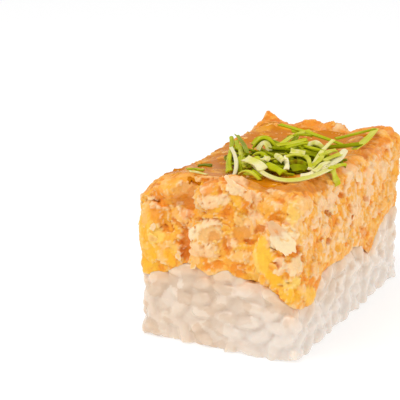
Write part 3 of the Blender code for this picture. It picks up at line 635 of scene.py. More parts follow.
def spot_shares(points, rows):
    """How much each point belongs to each spot on the top."""
    ragged = 0.25 * waves(points, 1.2, 44)
    on_top = ramp(points[:, 2], RUN_FOOT, RUN_FOOT + RUN_FADE)
    for x, y, length, width, heading, name in rows:
        one, other = turned(points[:, 0] - x, points[:, 1] - y, heading)
        edge = np.hypot(2 * one / length, 2 * other / width) + ragged
        yield name, ramp(-edge, -1.25, -1) * on_top


def scaled(points, rows, seed):
    """Relief and tone of scales over scales."""
    relief = np.zeros(len(points))
    tone = np.zeros(len(points))
    for number, (size, height, weight) in enumerate(rows):
        lift, lot = scales(points, size, seed + 10 * number)
        relief += height * lift
        tone += weight * lot
    return relief, ramp(tone, 0.12, 0.88)


def layer_relief(points, walls, reliefs, patches):
    """How far each point moves out: scales, crumbs and patches, and less of them near the rice."""
    torn, cut, top = walls
    out = torn * reliefs[0] + cut * reliefs[1]
    out += top * (reliefs[2] - out)
    out += CRUMB_RELIEF * rough(points, CRUMB_SIZE, 6, 2)
    for name, rise, share in patches:
        if name in SMOOTH_TONES:
            out *= 1 - SMOOTHING * share
        out += rise * share
    above = points[:, 2] - seam_height(points)
    return out * (SEAM_RELIEF + (1 - SEAM_RELIEF) * ramp(above, 0, SEAM_FADE))


def layer_colors(mesh, points, walls, tones, patches):
    """The colour of each point: its scales and patches, the glaze's stains, painted shade in its hollows and
    a painted highlight on its ridges.
    """
    torn, cut, top = walls
    lower = LOWER_TONE * ramp(-points[:, 2], -LOWER_TOP, -LOWER_FOOT)
    colors = graded(tones[0] - lower, TORN_TONES) * torn[:, None]
    colors += graded(tones[1] - lower, CUT_TONES) * cut[:, None]
    colors /= np.maximum(torn + cut, 1e-6)[:, None]
    colors += (graded(tones[2], TOP_TONES) - colors) * top[:, None]
    colors = tinted(colors, YELLOW_SPOTS, waves(points, 4.0, 29), torn)
    for name, _, share in patches:
        colors = blended(colors, name, PATCH_STRENGTH * share)
    inside = GLAZE_REACH - np.abs(points[:, :2] - GLAZE_MIDDLE)
    glazed = top * np.prod(ramp(inside, -1, 2), axis=1)
    colors = tinted(colors, GLAZE_STAIN, waves(points, 3.0, 31), glazed)
    near_rim = ramp(points[:, 2], RIM_HEIGHT - RIM_BAND, RIM_HEIGHT) * (1 - 0.7 * torn)
    colors = tinted(colors, ORANGE_RIM, waves(points, 3.0, 33), near_rim)
    for name, share in spot_shares(points, GLAZE_RUNS):
        colors = blended(colors, name, RUN_STRENGTH * share)
    # Painted shade in the hollows and a painted highlight on the ridges.
    hollow = hollowness(mesh, FINE_ROUNDS)
    colors = tinted(colors, BROAD_HOLLOW_SHADE, hollowness(mesh, BROAD_ROUNDS))
    colors = tinted(colors, FINE_HOLLOW_SHADE, hollow)
    colors = tinted(colors, RIDGE_HIGHLIGHT, -hollow, 1 - 0.6 * top)
    for name, share in spot_shares(points, LOOSE_GREEN):
        colors = blended(colors, name, share)
    return colors


def shrimp_and_batter():
    mesh = remeshed(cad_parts["shrimp_tempura_layer"].data.copy(), "shrimp_and_batter", LAYER_VOXEL)
    outward = length_one(averaged(mesh, normals(mesh), FACING_ROUNDS))
    points = places(mesh)
    walls = wall_shares(outward)
    scales_of_walls = ((TORN_SCALES, 100), (CUT_SCALES, 200), (TOP_SCALES, 300))
    reliefs, tones = zip(*(scaled(points, rows, seed) for rows, seed in scales_of_walls))
    patches = list(patch_shares(points, outward))
    moved = points + normals(mesh) * layer_relief(points, walls, reliefs, patches)[:, None]
    moved[:, 2] -= UNDERSIDE_DROP * ramp(-outward[:, 2], 0.2, 0.6)
    put(mesh, moved)
    colors = layer_colors(mesh, points, walls, tones, patches)
    add_piece("shrimp_and_batter", mesh, colors, "batter", "shrimp_and_batter", "shrimp_tempura_layer")
    return tree_of(mesh)


# Thin ragged plates of batter that stand off the walls: wall, along, height, half width, half tallness, turn
# and lean in degrees, how far out, and the colours from the middle to the edge.
FLAKES = (
    ("front", 16.4, 28.6, 2.3, 4, 30, 8, 0.3, ("peach", "cream", "cream", "cream")),
    ("front", 5, 38.6, 2.4, 0.9, -26, -6, 0, ("peach", "blush", "blush", "cream")),
    ("front", -4.6, 26.4, 0.9, 2, -8, 10, 0.1, ("peach", "cream", "cream")),
    ("back", 5, 30, 3, 2.2, 20, 12, 0.2, ("tan", "peach", "cream", "cream")),
    ("back", -9, 25, 2.4, 3.4, -16, 8, 0.2, ("yellow", "straw", "straw", "cream")),
    ("back", 13, 24, 2.2, 2.8, 8, 12, 0.2, ("apricot", "peach", "cream", "cream")),
)

# Chips, small plates strewn over the walls: how many, on which walls, where along them, half width, tallness
# against it, turn and lean, how far out, and colours.
CHIPS = 46
CHIP_WALLS = ("front", "front", "back", "back", "right", "left")
CHIP_SPAN = (-0.45, 0.45)
CHIP_HALF = (0.5, 1.3)
CHIP_TALLNESS = (0.8, 1.7)
CHIP_TURN = (-40, 40)
CHIP_LEAN = (-25, 25)
CHIP_OUT = 0.05
CHIP_TONES = (
    ("apricot", "peach", "cream"),
    ("peach", "blush", "cream"),
    ("tan", "peach", "straw"),
    ("orange", "apricot", "peach"),
)

# How every plate is built: a mesh of spokes and rings, a lobed and toothed outline, a bend and a thickness.
# A chip needs batter behind it at the depth of its hold.
SPOKES = 44
FLAKE_RINGS = 5
FLAKE_LOBES = (2, 3, 5, 8, 13)
FLAKE_LOBE = 0.3
FLAKE_TOOTH = (-0.09, 0.09)
FLAKE_BEND = 0.3
FLAKE_THICKNESS = 0.45
FLAKE_HOLD = 1.6
FLAKE_CREASE = 50
FLAKE_SEED = 7


def jagged(dice):
    """An outline's reach all round: a few broad lobes with small torn teeth on them."""
    turns = np.arange(SPOKES) / SPOKES * math.tau
    reach = np.ones(SPOKES)
    for lobes in FLAKE_LOBES:
        lobe = FLAKE_LOBE / lobes**0.7 * np.sin(lobes * turns + dice.uniform(0, math.tau))
        reach += lobe * dice.uniform(0.3, 1)
    reach += np.array([dice.uniform(*FLAKE_TOOTH) for _ in turns])
    return turns, reach


def plate_faces():
    """The faces of a flake: rings round the middle of either side, and its thin edge."""
    count = 1 + FLAKE_RINGS * SPOKES
    edge = count - SPOKES
    faces = []
    for spoke in range(SPOKES):
        after = (spoke + 1) % SPOKES
        faces += [(0, 1 + spoke, 1 + after), (count, count + 1 + after, count + 1 + spoke)]
        for near in range(1, edge, SPOKES):
            far = near + SPOKES
            face = (near + spoke, far + spoke, far + after, near + after)
            faces += [face, [count + place for place in reversed(face)]]
        faces.append((edge + after, edge + spoke, count + edge + spoke, count + edge + after))
    return faces


def flake(tree, row, dice):
    """A thin ragged plate: points, faces and colours."""
    wall, along, height, half_width, half_tall, turn, lean, out, tones = row
    turns, reach = jagged(dice)
    shares = np.linspace(0, 1, FLAKE_RINGS + 1)[1:]
    rings = [np.column_stack([np.cos(turns), np.sin(turns)]) * (share * reach)[:, None] for share in shares]
    flat = np.concatenate([np.zeros((1, 2)), *rings])
    near_edge = np.concatenate([[0], np.repeat(shares, SPOKES)])
    sheet = flat * (half_width, half_tall)
    spots = np.column_stack([sheet, np.full(len(sheet), 10 * dice.random())])
    bend = FLAKE_BEND * half_width * (flat[:, 0] ** 2 - 0.3) * dice.uniform(-1, 0.6)
    bend += 0.16 * rough(spots, 1.6, 80, 2)
    thick = FLAKE_THICKNESS * (1 - 0.7 * near_edge**3)
    sides = [np.column_stack([sheet, bend + side * thick]) for side in (0.5, -0.5)]
    normal = WALLS[wall]
    axes = wall_axes(normal) @ (rotation(turn, "Z") @ rotation(lean, "X"))
    points = np.concatenate(sides) @ np.array(axes).T
    place = wall_place(normal, along, height)
    hit = tree.ray_cast(place + normal * DEPTH, -normal)[0]
    middle = (hit or place) + normal * out
    colors = graded(0.15 + 0.7 * near_edge**1.6 + 0.4 * rough(spots, 1.3, 81), tones)
    return points + np.array(middle), plate_faces(), np.concatenate([colors, colors])


def chip_rows(tree, dice):
    """A chip of batter somewhere on the walls, or none where the layer isn't behind all of it."""
    wall = dice.choice(CHIP_WALLS)
    normal = WALLS[wall]
    along = dice.uniform(*CHIP_SPAN) * wall_length(normal)
    height = dice.uniform(SEAM_HEIGHT + 2.5, RIM_HEIGHT - 2)
    half_width = dice.uniform(*CHIP_HALF)
    half_tall = half_width * dice.uniform(*CHIP_TALLNESS)
    turn = dice.uniform(*CHIP_TURN)
    lean = dice.uniform(*CHIP_LEAN)
    tones = dice.choice(CHIP_TONES)
    inner = wall_place(normal, along, height, FLAKE_HOLD)
    gone = tree.ray_cast(inner + normal * DEPTH, -normal)[3]
    if gone and gone < DEPTH and top_under(tree, inner.x, inner.y) > height + half_tall + 1:
        return [(wall, along, height, half_width, half_tall, turn, lean, CHIP_OUT, tones)]
    return []


def flakes(tree):
    dice = random.Random(FLAKE_SEED)
    rows = list(FLAKES)
    while len(rows) < len(FLAKES) + CHIPS:
        rows += chip_rows(tree, dice)
    add_loose_piece("flakes", [flake(tree, row, dice) for row in rows], FLAKE_CREASE, "shrimp_and_batter")


# The glaze.


def spread_out(heights):
    """A grid of heights, each round averaged with its neighbours along one axis and then the other."""
    for _ in range(2 * GLAZE_ROUNDS):
        edged = np.pad(heights, ((1, 1), (0, 0)), "edge")
        heights = (0.25 * edged[:-2] + 0.5 * heights + 0.25 * edged[2:]).T
    return heights


def sheet_faces(shown):
    """The faces of a closed sheet over the shown cells of a grid."""
    columns, rows = shown.shape[0] + 1, shown.shape[1] + 1
    count = columns * rows
    faces = []
    sides = set()
    for column, row in np.argwhere(shown).tolist():
        corner = column * rows + row
        ring = (corner, corner + rows, corner + rows + 1, corner + 1)
        faces += [ring, [count + place for place in reversed(ring)]]
        for near, far in zip(ring, ring[1:] + ring[:1]):
            if (far, near) in sides:
                sides.remove((far, near))
            else:
                sides.add((near, far))
    faces += [(far, near, count + near, count + far) for near, far in sorted(sides)]
    return faces


def glaze(tree):
    """A thin film that lies in the low places of the top. Bumps of batter stand out of it."""
    rulers = (np.arange(-reach, reach + GLAZE_STEP, GLAZE_STEP) for reach in GLAZE_REACH)
    across, away = (ruler + middle for ruler, middle in zip(rulers, GLAZE_MIDDLE))
    under = np.array([[top_under(tree, x, y) for y in away] for x in across])
    grid_x, grid_y = np.meshgrid(across, away, indexing="ij")
    spots = np.column_stack([grid_x.ravel(), grid_y.ravel(), np.zeros(grid_x.size)])
    level = spread_out(np.maximum(under, RIM_HEIGHT - GLAZE_SAG))
    out = np.sum((np.abs(spots[:, :2] - GLAZE_MIDDLE) / GLAZE_REACH) ** GLAZE_SQUARENESS, axis=1)
    out += 0.5 * rough(spots, 5.0, 71)
    edge = ramp(out, *GLAZE_EDGE).reshape(under.shape)
    surface = level + GLAZE_LIFT - GLAZE_DIP * edge
    surface += 0.1 * waves(spots, 3.0, 72).reshape(under.shape)
    held = (under > surface - 0.5 * GLAZE_SAG) & (edge < 1)
    shown = held[:-1, :-1] & held[1:, :-1] & held[1:, 1:] & held[:-1, 1:]
    top = np.column_stack([spots[:, :2], surface.ravel()])
    points = np.concatenate([top, top - (0, 0, GLAZE_DEPTH)])
    mesh = raw_mesh("glaze", [(points, sheet_faces(shown))])
    colors = graded(0.5 + 0.6 * rough(points, 5.0, 73), GLAZE_TONES)
    add_piece("glaze", mesh, colors, "glaze", "shrimp_and_batter")


# The rice.

RICE_VOXEL = 0.34
RICE_SEED = 5
GRAIN_LENGTH = 7
GRAIN_WIDTH = 3.2
GRAIN_LENGTHS = (0.85, 1.12)
GRAIN_WIDTHS = (0.9, 1.1)
GRAIN_TURN = 32
GRAIN_TILT = (-14, 14)
GRAIN_SINK = 0.35
GRAIN_BLUNTNESS = 2.6
GRAIN_MARGIN = 0.12
SPACING_JITTER = (-0.3, 0.3)
ROW_JITTER = (-0.4, 0.4)
ROOF_SHARE = 0.3
SEAM_SPREAD = 5
GRAIN_RINGS = 11
SIDES = 12

# Layers of grains, those of the solid and those that fill in behind them: spacing, first row, rise to the
# next row, how deep they lie and how large they are.
GRAIN_LAYERS = ((5.8, 1.7, 3.1, 0, 1), (4.4, 3.2, 2.8, 1.2, 0.95))

# The sides are cut with a knife, so their grains are flatter, and the painted shade in their creases fainter
# by this share.
SIDE_ROUNDS = 8
SIDE_SMOOTHING = 0.7
SIDE_FAINTNESS = 0.7

# The rice ends a little under the seam, where its grains swell up again. Fine grit covers it, and the gaps
# between grains notch its foot.
SEAM_GAP = 0.15
SEAM_PLUMPNESS = 0.45
GRIT = 0.05
FOOT_NOTCH = 0.3

RICE_BROAD_ROUNDS = 18
RICE_LOTS = ("rice_white", 0.6, 0.3, 0.9)
RICE_COOL_CORNER = ("rice_cool", 0.8, -4, 14)
# Painted highlight on the grains' swells, and painted shade in their hollows and creases.
RICE_SWELL_HIGHLIGHT = ("rice_white", 0.5, 0.05, 0.3)
RICE_HOLLOW_SHADE = ("rice_crease_shade", 0.3, 0.05, 0.5)
RICE_CREASE_SHADE = ("rice_crease_shade", 0.4, 0.03, 0.18)
RICE_SEAM_STAIN = ("rice_stained", 0.5, -4, -0.3)


def grain_shape():
    """A plump closed grain along X, with length and width one: points and faces."""
    points = [(-0.5, 0, 0)]
    for ring in range(1, GRAIN_RINGS):
        share = 2 * ring / GRAIN_RINGS - 1
        reach = 0.5 * (1 - abs(share) ** GRAIN_BLUNTNESS) ** 0.5
        for side in range(SIDES):
            angle = math.tau * side / SIDES
            points.append((0.5 * share, reach * math.cos(angle), reach * math.sin(angle)))
    points.append((0.5, 0, 0))
    last = len(points) - 1
    faces = []
    for side in range(SIDES):
        after = (side + 1) % SIDES
        faces += [(0, 1 + after, 1 + side), (last, last - SIDES + side, last - SIDES + after)]
        for near in range(1, last - SIDES, SIDES):
            far = near + SIDES
            faces.append((near + side, near + after, far + after, far + side))
    return np.array(points), faces


def held_in(points):
    """Pulls points onto the block's rounded plan where they stand outside it."""
    inner = HALF_PLAN - CORNER_RADIUS
    over = np.maximum(np.abs(points[:, :2]) - inner, 0)
    reach = np.maximum(np.linalg.norm(over, axis=1), 1e-6)
    limit = CORNER_RADIUS - GRAIN_MARGIN
    bent = reach - 0.5 * (reach - limit + np.hypot(reach - limit, 0.4))
    share = np.where(reach > 0.01, np.minimum(bent / reach, 1), 1)
    flat = np.where(over > 0, np.sign(points[:, :2]) * (inner + over * share[:, None]), points[:, :2])
    return np.column_stack([flat, points[:, 2]])


def wall_grain(shape, normal, along, height, sink, size, dice):
    """One grain lying against a wall, turned and tilted a little: its points."""
    height += dice.uniform(*ROW_JITTER)
    length = GRAIN_LENGTH * size * dice.uniform(*GRAIN_LENGTHS)
    width = GRAIN_WIDTH * size * dice.uniform(*GRAIN_WIDTHS)
    turn = rotation(dice.gauss(0, GRAIN_TURN), "Z")
    sink += dice.uniform(0, GRAIN_SINK)
    tilt = rotation(dice.uniform(*GRAIN_TILT), "Y")
    middle = np.array(wall_place(normal, along, height, 0.5 * width + sink))
    axes = np.array(wall_axes(normal) @ turn @ tilt)
    return held_in((shape * (length, width, width)) @ axes.T + middle)


def rice_grains(dice, spacing, height, rise, sink, size):
    """Grains in staggered rows all round the walls."""
    shape, faces = grain_shape()
    parts = []
    while height < SEAM_HEIGHT + SEAM_SPREAD:
        for normal in WALLS.values():
            span = wall_length(normal) - GRAIN_WIDTH
            count = round(span / spacing)
            for step in range(count):
                share = (step + 0.5 + dice.uniform(*SPACING_JITTER)) / count
                along = (share - 0.5) * span
                seam = seam_height(np.array([wall_place(normal, along, 0)]))[0]
                if height + ROOF_SHARE * GRAIN_WIDTH < seam:
                    parts.append((wall_grain(shape, normal, along, height, sink, size, dice), faces))
        height += rise
    return parts


def rice_colors(mesh, points, roof, sideways):
    """Warm and white grains, cooler towards the right front corner, with a painted highlight on their swells,
    painted shade in their hollows and creases, and a stained seam.
    """
    hollow = hollowness(mesh, FINE_ROUNDS)
    broad = hollowness(mesh, RICE_BROAD_ROUNDS)
    _, lot, _ = cells(points + 0.8 * waves(points, 2.5, 53)[:, None], (4.5, 4.5, 3.4), 54)
    crease_shade_share = 1 - SIDE_FAINTNESS * sideways
    colors = np.tile(linear("rice"), (len(points), 1))
    colors = tinted(colors, RICE_LOTS, lot)
    colors = tinted(colors, RICE_COOL_CORNER, points[:, 0], ramp(-points[:, 2], -13, -4))
    colors = tinted(colors, RICE_SWELL_HIGHLIGHT, -broad)
    colors = tinted(colors, RICE_HOLLOW_SHADE, broad, crease_shade_share)
    colors = tinted(colors, RICE_CREASE_SHADE, hollow, crease_shade_share)
    return tinted(colors, RICE_SEAM_STAIN, points[:, 2] - roof)


def rice():
    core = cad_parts["rice_block"].data
    dice = random.Random(RICE_SEED)
    parts = [part for layer in GRAIN_LAYERS for part in rice_grains(dice, *layer)]
    parts.append((places(core), [tuple(face.vertices) for face in core.polygons]))
    mesh = remeshed(raw_mesh("rice", parts), "rice", RICE_VOXEL)
    points = places(mesh)
    roof = seam_height(points) - SEAM_GAP
    points[:, 2] = np.clip(points[:, 2], 0.02, roof)
    outward = averaged(mesh, normals(mesh), FACING_ROUNDS)
    sideways = ramp(np.abs(outward[:, 0]), 0.4, 0.8)
    points += (averaged(mesh, points, SIDE_ROUNDS) - points) * (SIDE_SMOOTHING * sideways)[:, None]
    points[:, 2] += SEAM_PLUMPNESS * ramp(outward[:, 2], 0.3, 0.8) * ramp(points[:, 2], 8, 10)
    points = points + normals(mesh) * (GRIT * rough(points, 1.8, 51, 2))[:, None]
    crease, _, _ = cells(points, (3.2, 5.6, 3.2), 52)
    points[:, 2] += FOOT_NOTCH * ramp(-crease, -0.25, -0.02) * ramp(-points[:, 2], -0.6, -0.1)
    put(mesh, points)
    colors = rice_colors(mesh, points, roof, sideways)
    add_piece("rice", mesh, colors, "rice", "pressed_rice", "rice_block")


# The scallion shreds, in the heap's own axes: along runs to the right and back, away to the left and back.

HEAP_CENTRE = Vector((5.5, -7.9, 0))
HEAP_TURN = 28
HEAP_FOOT = 37.1
HEAP_SEED = 3
STEPS = 18
LANES = 5
SHRED_THICKNESS = 0.34
SHRED_CLEARANCE = 0.22
SIDE_CLEARANCE = 0.3
SHRED_NARROWING = 0.68
SHRED_CREASE = 40

# How a shred strays from its plain shape, each within limits: sway to the side, twist in degrees, taper, curl
# across its width and slanted ends.
SWAY = (0.05, 0.25)
SWAY_PACE = (4, 9)
TWIST = (-25, 25)
TAPER = 0.12
TAPER_PACE = (4, 11)
CURL = (-0.22, 0.3)
SLANT = (-0.5, 0.5)
SLANT_REACH = 9

# How a shred's colour varies: veins, a paler end, patches along it and lighter or darker shreds.
VEIN = 0.6
PALE_END = 0.7
PATCHINESS = 0.25
PATCH_PACE = (6, 16)
SHADE = (0.85, 1.15)

# Greens from deep to white, and what each of them pales to.
GREENS = ("moss", "leaf", "green", "lime", "pear", "leek")
PALER = {**dict(zip(GREENS, GREENS[1:])), "leek": "leek", "olive": "green"}

# Shreds that show, each from its start to its end: along, away and height twice, sideways bow, rise in the
# middle, width, roll in degrees and colour.
SHREDS = (
    (-12.1, 15.7, 40, -13.4, -9.4, 38.2, 0.2, 0.1, 1.5, 20, "green"),
    (-10.8, 15.5, 40.3, -8.9, -2.2, 40.3, 0.2, 0.2, 1.5, -15, "leaf"),
    (-12.3, 3.9, 40.2, -12.1, -12.8, 38.2, 0.9, 0.2, 1.3, 30, "leek"),
    (-13, 0, 39.5, -13, -9, 38.1, 0, 0, 1.8, 40, "green"),
    (-10.7, 11.6, 40, -10.3, 0.5, 39.6, 0, 0, 1.7, 10, "green"),
    (-10.2, 3.1, 39.9, -9.4, -8.9, 39, -0.1, 0.1, 1.6, 0, "lime"),
    (-7.4, 5, 39.8, -1.6, 2.4, 40.2, -0.3, 2.8, 1.3, 35, "green"),
    (-6.8, 6, 39.9, -2.3, 2.4, 40.2, 0, 2.1, 1.2, 35, "leaf"),
    (-7.2, 6.8, 40.2, -2.9, 9.3, 40.8, 0.6, 1, 1.1, 30, "lime"),
    (-6, 2.3, 40, -3.5, 1.4, 40.1, 0.3, 1.6, 1.9, 45, "pear"),
    (-3.4, 9.4, 40.9, -0.5, 1.7, 40.4, 0.3, 0.4, 1.5, 20, "leaf"),
    (-7.2, -1, 39.8, -4.1, -4.7, 40, -0.2, 0.9, 1.6, 10, "green"),
    (-7.3, -6.1, 40.6, -5, -10, 40, 0, 0, 1.8, 20, "green"),
    (-5.6, -9, 41, -4.4, -10.8, 41, 0, 0, 1.8, 30, "pear"),
    (-4.8, -10.7, 40.4, -1.5, -15.4, 39.6, 0, 0, 2.4, 25, "green"),
    (-2.7, -6.5, 41.4, -1.3, -11.1, 41.2, 0, 0, 2, 30, "pear"),
    (-3.5, 1.8, 40.6, 1.2, -0.6, 40.6, 0, 0, 1.6, 0, "leaf"),
    (-0.6, 4.5, 40.9, 7.1, 18.5, 40.6, 0.3, 0.4, 1.5, 10, "lime"),
    (0.5, 9.9, 40.8, 7.1, 14.3, 40.6, 0.1, 0.7, 1.5, 0, "green"),
    (-1.9, 2.1, 41, 5.4, 7.5, 41, 0.3, -0.2, 1.7, 20, "lime"),
    (0.1, -0.3, 41, 6.5, 4.1, 41, 0.4, 0.3, 1.7, 5, "green"),
    (2.6, 19.1, 40.7, 7, 16.5, 40.7, 0, 0, 1.5, 0, "green"),
    (4, 3.1, 41, 9.4, -2.3, 40.8, -0.1, 0.2, 1.6, 0, "green"),
    (5.4, 3.4, 41.3, 8.7, 2.2, 41.1, -0.1, 0.8, 2.4, 15, "pear"),
    (0.1, 24.3, 40.9, 13.6, 5.9, 40.2, -0.3, 0.3, 1.5, 10, "green"),
    (0.6, -5.9, 41.5, 3.6, -7.4, 41.3, 0, 0, 2.2, 30, "pear"),
    (-0.6, -8, 41.2, 4.1, -7.6, 41.1, -0.3, 0.5, 1.6, 10, "lime"),
    (3.7, -7.1, 41.2, 4.7, -13.6, 39.8, 0.1, 0.5, 1.4, 10, "lime"),
    (-0.4, -7.9, 41.3, -0.6, -12.8, 39.6, 0, 0, 1.6, 0, "leek"),
    (0.4, -9.9, 40.2, 3.9, -10.8, 40.2, 0.2, 0.4, 2.2, 45, "olive"),
    (0.5, -11.7, 39.4, 3.8, -12.1, 39.4, 0.1, 0.3, 2.2, 50, "leaf"),
    (4.3, -14, 39.9, 11.3, 5.2, 41.7, 0.5, -0.2, 1.4, 0, "pear"),
    (4.8, -13.1, 39.9, 7.8, -6.7, 41, 0, 0, 1.5, 10, "lime"),
    (5.1, -14.5, 39.6, 8.8, -8.5, 40.3, -0.2, 0.2, 1.6, 10, "pear"),
    (2.1, -16.9, 39, 8.5, -11.5, 39.7, -0.1, -0.3, 1.5, 15, "leek"),
    (7.5, -11.9, 39.8, 13.5, 1.7, 40.4, -0.5, -0.2, 2.5, 10, "leek"),
    (7.4, -5.9, 40.8, 11.3, -0.5, 40.6, 0, 0, 1.7, 5, "lime"),
    (8.1, -8.9, 40.4, 12.1, -2.7, 40.2, 0, 0, 1.7, 0, "lime"),
    (12.5, 12.6, 40.4, 23.2, 23, 40.2, 0, 0, 1.5, 0, "green"),
    (23.3, 23.8, 40, 16.2, 5.7, 39.4, 0.6, -0.1, 2.4, 3, "lime"),
    (-8.3, -7.4, 40, 9.2, -11.2, 39.4, -9.6, -1, 1.5, 25, "pear"),
    (-9.3, -6.8, 40.3, -5.8, -13.7, 39.6, 0.1, 0.3, 3.2, 20, "pear"),
    (-10.9, -12, 38.2, -6.4, -15.9, 38.1, -0.5, 1.5, 1.6, 0, "lime"),
    (-8.4, -12.4, 38.9, -6, -14.7, 38.5, 0, 0, 2, 10, "green"),
    (9.3, -10.6, 39.8, 11, -9.9, 35.1, 0, 0, 2.3, 85, "lime"),
    (8.3, -11.9, 39.8, 12.8, -7.3, 39.4, 0, 0, 1.8, 5, "lime"),
    (-12.8, -5.1, 38.7, -7.5, -6, 39.2, 0.3, 0, 1.5, 0, "leaf"),
    (-12.4, 5.6, 39.4, -7, 3, 39.6, 0.3, 0, 1.4, 0, "leaf"),
    (5, 2.1, 39.9, 18, 7.9, 39.7, -0.8, 0.3, 1.9, 0, "leaf"),
)

# The finer shreds under and between them. Of each spot: how many, its middle, its reach and the height of the
# topmost.
FILLER_SPOTS = (
    (84, (0, -2), (10, 9.5), 40.2),
    (34, (3.6, 9), (4, 6.5), 40.5),
    (14, (-10.8, 3), (1.6, 8), 39.7),
)
FILLER_LENGTH = (4, 12)
FILLER_WIDTH = (0.9, 1.8)
FILLER_BOW = (-2.2, 2.2)
FILLER_RISE = 0.7
FILLER_ROLL = (-35, 35)
FILLER_LIFT = (-0.2, 0.5)
# Mostly deep greens: the under shreds' own darker colour and painted shade between the shreds that show.
FILLER_TONES_AND_SHADE = ("moss", "leaf", "leaf", "olive", "green", "green", "green", "lime")


def heap_place(along, away, height):
    """A point from its place in the heap's own turned axes."""
    return np.array(HEAP_CENTRE + rotation(HEAP_TURN, "Z") @ Vector((along, away, height)))


def way_clear(tree, ring):
    """The move that takes a cross-section clear of the layer: up, or out where it hangs beside it."""
    up = 0.0
    out = 0.0
    for x, y, z in ring:
        if x < LAYER_EDGE:
            up = max(up, top_under(tree, x, y, HEAP_FOOT) + SHRED_CLEARANCE - z)
        else:
            wall = tree.ray_cast(Vector((2 * WIDTH, y, z)), -WALLS["right"])[0]
            out = max(out, wall.x + SIDE_CLEARANCE - x) if wall else out
    return np.array((out, 0.0, up))


def wobble(share, pace, dice):
    """A gentle wave along a shred."""
    return np.sin(share * dice.uniform(*pace) + dice.uniform(0, 6))


def strip_faces():
    """The faces of a shred: its long sides and its two ends."""
    size = 2 * LANES
    count = size * STEPS
    faces = []
    for first in range(0, count - size, size):
        for corner in range(size):
            after = (corner + 1) % size
            faces.append((first + corner, first + size + corner, first + size + after, first + after))
    return faces + [list(range(size)), list(range(count - 1, count - 1 - size, -1))]


def shred(tree, row, dice):
    """A thin strip that bows, twists and curls a little: points, faces and colours."""
    along, away, height, far_along, far_away, far_height, bow, rise, width, roll, name = row
    start = heap_place(along, away, height)
    run = heap_place(far_along, far_away, far_height) - start
    share = np.linspace(0, 1, STEPS)
    arch = 4 * share * (1 - share)
    sway = dice.uniform(*SWAY) * wobble(share, SWAY_PACE, dice)
    spine = start + share[:, None] * run + (arch * bow + sway)[:, None] * length_one(np.cross(UP, run))
    spine[:, 2] += arch * rise
    slope = length_one(np.gradient(spine, axis=0))
    level = length_one(np.cross(UP, slope))
    angle = np.radians(roll + dice.uniform(*TWIST) * (share - 0.5))[:, None]
    across = level * np.cos(angle) + np.cross(slope, level) * np.sin(angle)
    face_out = np.cross(slope, across)
    half = 0.5 * width * SHRED_NARROWING * (1 + TAPER * wobble(share, TAPER_PACE, dice))
    lanes = np.linspace(-1, 1, LANES)
    lanes = np.concatenate([lanes, lanes[::-1]])
    side = np.repeat((0.5, -0.5), LANES)
    curl = dice.uniform(*CURL) * width
    slant = dice.uniform(*SLANT) * (2 * share - 1) ** SLANT_REACH
    lift = side * SHRED_THICKNESS * (1 - 0.15 * np.abs(lanes)) + curl * lanes * lanes
    reach = half[:, None] * (across + slope * slant[:, None])
    rings = spine[:, None] + lanes[:, None] * reach[:, None] + lift[:, None] * face_out[:, None]
    moves = np.array([way_clear(tree, ring[:LANES]) for ring in rings])
    for _ in range(3):
        moves[1:-1] = np.maximum(moves[1:-1], 0.5 * (moves[:-2] + moves[2:]))
    return (rings + moves[:, None]).reshape(-1, 3), strip_faces(), shred_colors(name, share, dice)


def shred_colors(name, share, dice):
    """A strip's colours: veins along it, and one end paler."""
    vein = np.array([dice.uniform(0, VEIN) for _ in range(LANES)])
    vein = np.concatenate([vein, vein[::-1]])
    fade = dice.choice((share, 1 - share)) ** 2 * dice.uniform(0, PALE_END)
    patchy = PATCHINESS * wobble(share, PATCH_PACE, dice)
    mix = np.clip(vein[None, :] + fade[:, None] + patchy[:, None], 0, 1).ravel()
    colors = np.tile(linear(name), (len(mix), 1)) * dice.uniform(*SHADE)
    return blended(colors, PALER[name], mix)


def filler_row(dice, middle, reach, top):
    """A finer shred somewhere in one spot of the heap, at any heading and depth."""
    middle, reach = np.array(middle), np.array(reach)
    out = math.sqrt(dice.random())
    angle = dice.uniform(0, math.tau)
    place = middle + reach * out * (math.cos(angle), math.sin(angle))
    heading = dice.uniform(0, math.pi)
    half = 0.5 * min(dice.uniform(*FILLER_LENGTH), reach[1])
    half_way = half * np.array((math.cos(heading) * min(reach[0] / reach[1], 1), math.sin(heading)))
    depth = dice.random()
    ends = []
    for spot in (place - half_way, place + half_way):
        over = math.hypot(*((spot - middle) / reach))
        pile = (top - HEAP_FOOT) * max(0, 1 - (over / 1.3) ** 4)
        ends += [*spot, HEAP_FOOT + pile * depth + dice.uniform(*FILLER_LIFT)]
    bow = dice.uniform(*FILLER_BOW)
    roll = dice.uniform(*FILLER_ROLL)
    width = dice.uniform(*FILLER_WIDTH)
    return (*ends, bow, FILLER_RISE * dice.random(), width, roll, dice.choice(FILLER_TONES_AND_SHADE))


def loose_bit(tree, row, dice):
    """A bit of green lying on the rim."""
    x, y, length, width, heading, name = row
    half_way = 0.5 * length * (rotation(heading, "Z") @ Vector((1, 0, 0)))
    middle = Vector((x, y, top_under(tree, x, y))) - HEAP_CENTRE
    back = rotation(-HEAP_TURN, "Z")
    near, far = (back @ (middle + sign * half_way) for sign in (-1, 1))
    return shred(tree, (*near, *far, 0.3, 0, width / SHRED_NARROWING, 0, name), dice)


def scallion(tree):
    dice = random.Random(HEAP_SEED)
    rows = list(SHREDS)
    rows += [filler_row(dice, *spot) for count, *spot in FILLER_SPOTS for _ in range(count)]
    parts = [shred(tree, row, dice) for row in rows]
    parts += [loose_bit(tree, row, dice) for row in LOOSE_GREEN]
    add_loose_piece("scallion", parts, SHRED_CREASE, "scallion", "scallion_heap")


# The floor, the light and the camera.

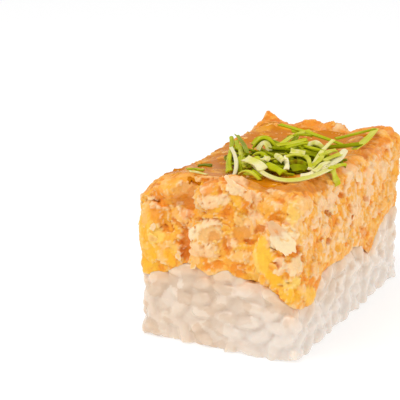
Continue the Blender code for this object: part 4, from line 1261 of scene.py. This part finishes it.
FLOOR_REACH = 3000
FLOOR_CORNERS = ((-1, -1, 0), (1, -1, 0), (1, 1, 0), (-1, 1, 0))
FLOOR_TONE = (0.6, 0.6, 0.6, 1)
FLOOR_GLOW = 0.48
WHITE = (1, 1, 1, 1)
SKY_STRENGTH = 0.8

# Lamps: name, place and power.
LAMPS = (
    ("key", (-120, -260, 420), 0.7),
    ("side", (380, 40, 260), 0.25),
)
LAMP_AIM = (0, 0, 20)
LAMP_SIZE = 260

CAMERA_PLACE = (117.10, -257.38, 109.41)
CAMERA_BACK = (0.45289, -0.8453, 0.28347)
LENS = 111.5
SENSOR_WIDTH = 36


def stage():
    floor = new_object("floor", raw_mesh("floor", [(FLOOR_REACH * np.array(FLOOR_CORNERS), [range(4)])]))
    made, shader = new_material("floor")
    set_inputs(shader, {"Base Color": FLOOR_TONE, "Roughness": 0.9, "Specular IOR Level": 0.1})
    set_inputs(shader, {"Emission Color": WHITE, "Emission Strength": FLOOR_GLOW})
    floor.data.materials.append(made)


def area_light(name, place, power):
    lamp = bpy.data.lights.new(name, "AREA")
    lamp.size = LAMP_SIZE * MM
    lamp.energy = power
    thing = new_object(name, lamp)
    thing.location = Vector(place) * MM
    thing.rotation_euler = (Vector(place) - Vector(LAMP_AIM)).to_track_quat("Z", "Y").to_euler()


def light_and_camera():
    scene = bpy.context.scene
    scene.view_settings.view_transform = "Standard"
    world = bpy.data.worlds.new("studio")
    world.use_nodes = True
    set_inputs(world.node_tree.nodes["Background"], {"Color": WHITE, "Strength": SKY_STRENGTH})
    scene.world = world
    for row in LAMPS:
        area_light(*row)
    lens = bpy.data.cameras.new("camera")
    lens.lens = LENS
    lens.sensor_width = SENSOR_WIDTH
    camera = new_object("camera", lens)
    camera.location = Vector(CAMERA_PLACE) * MM
    camera.rotation_euler = Vector(CAMERA_BACK).to_track_quat("Z", "Y").to_euler()
    scene.camera = camera


def main():
    tree = shrimp_and_batter()
    flakes(tree)
    glaze(tree)
    rice()
    scallion(tree)
    stage()
    light_and_camera()


main()
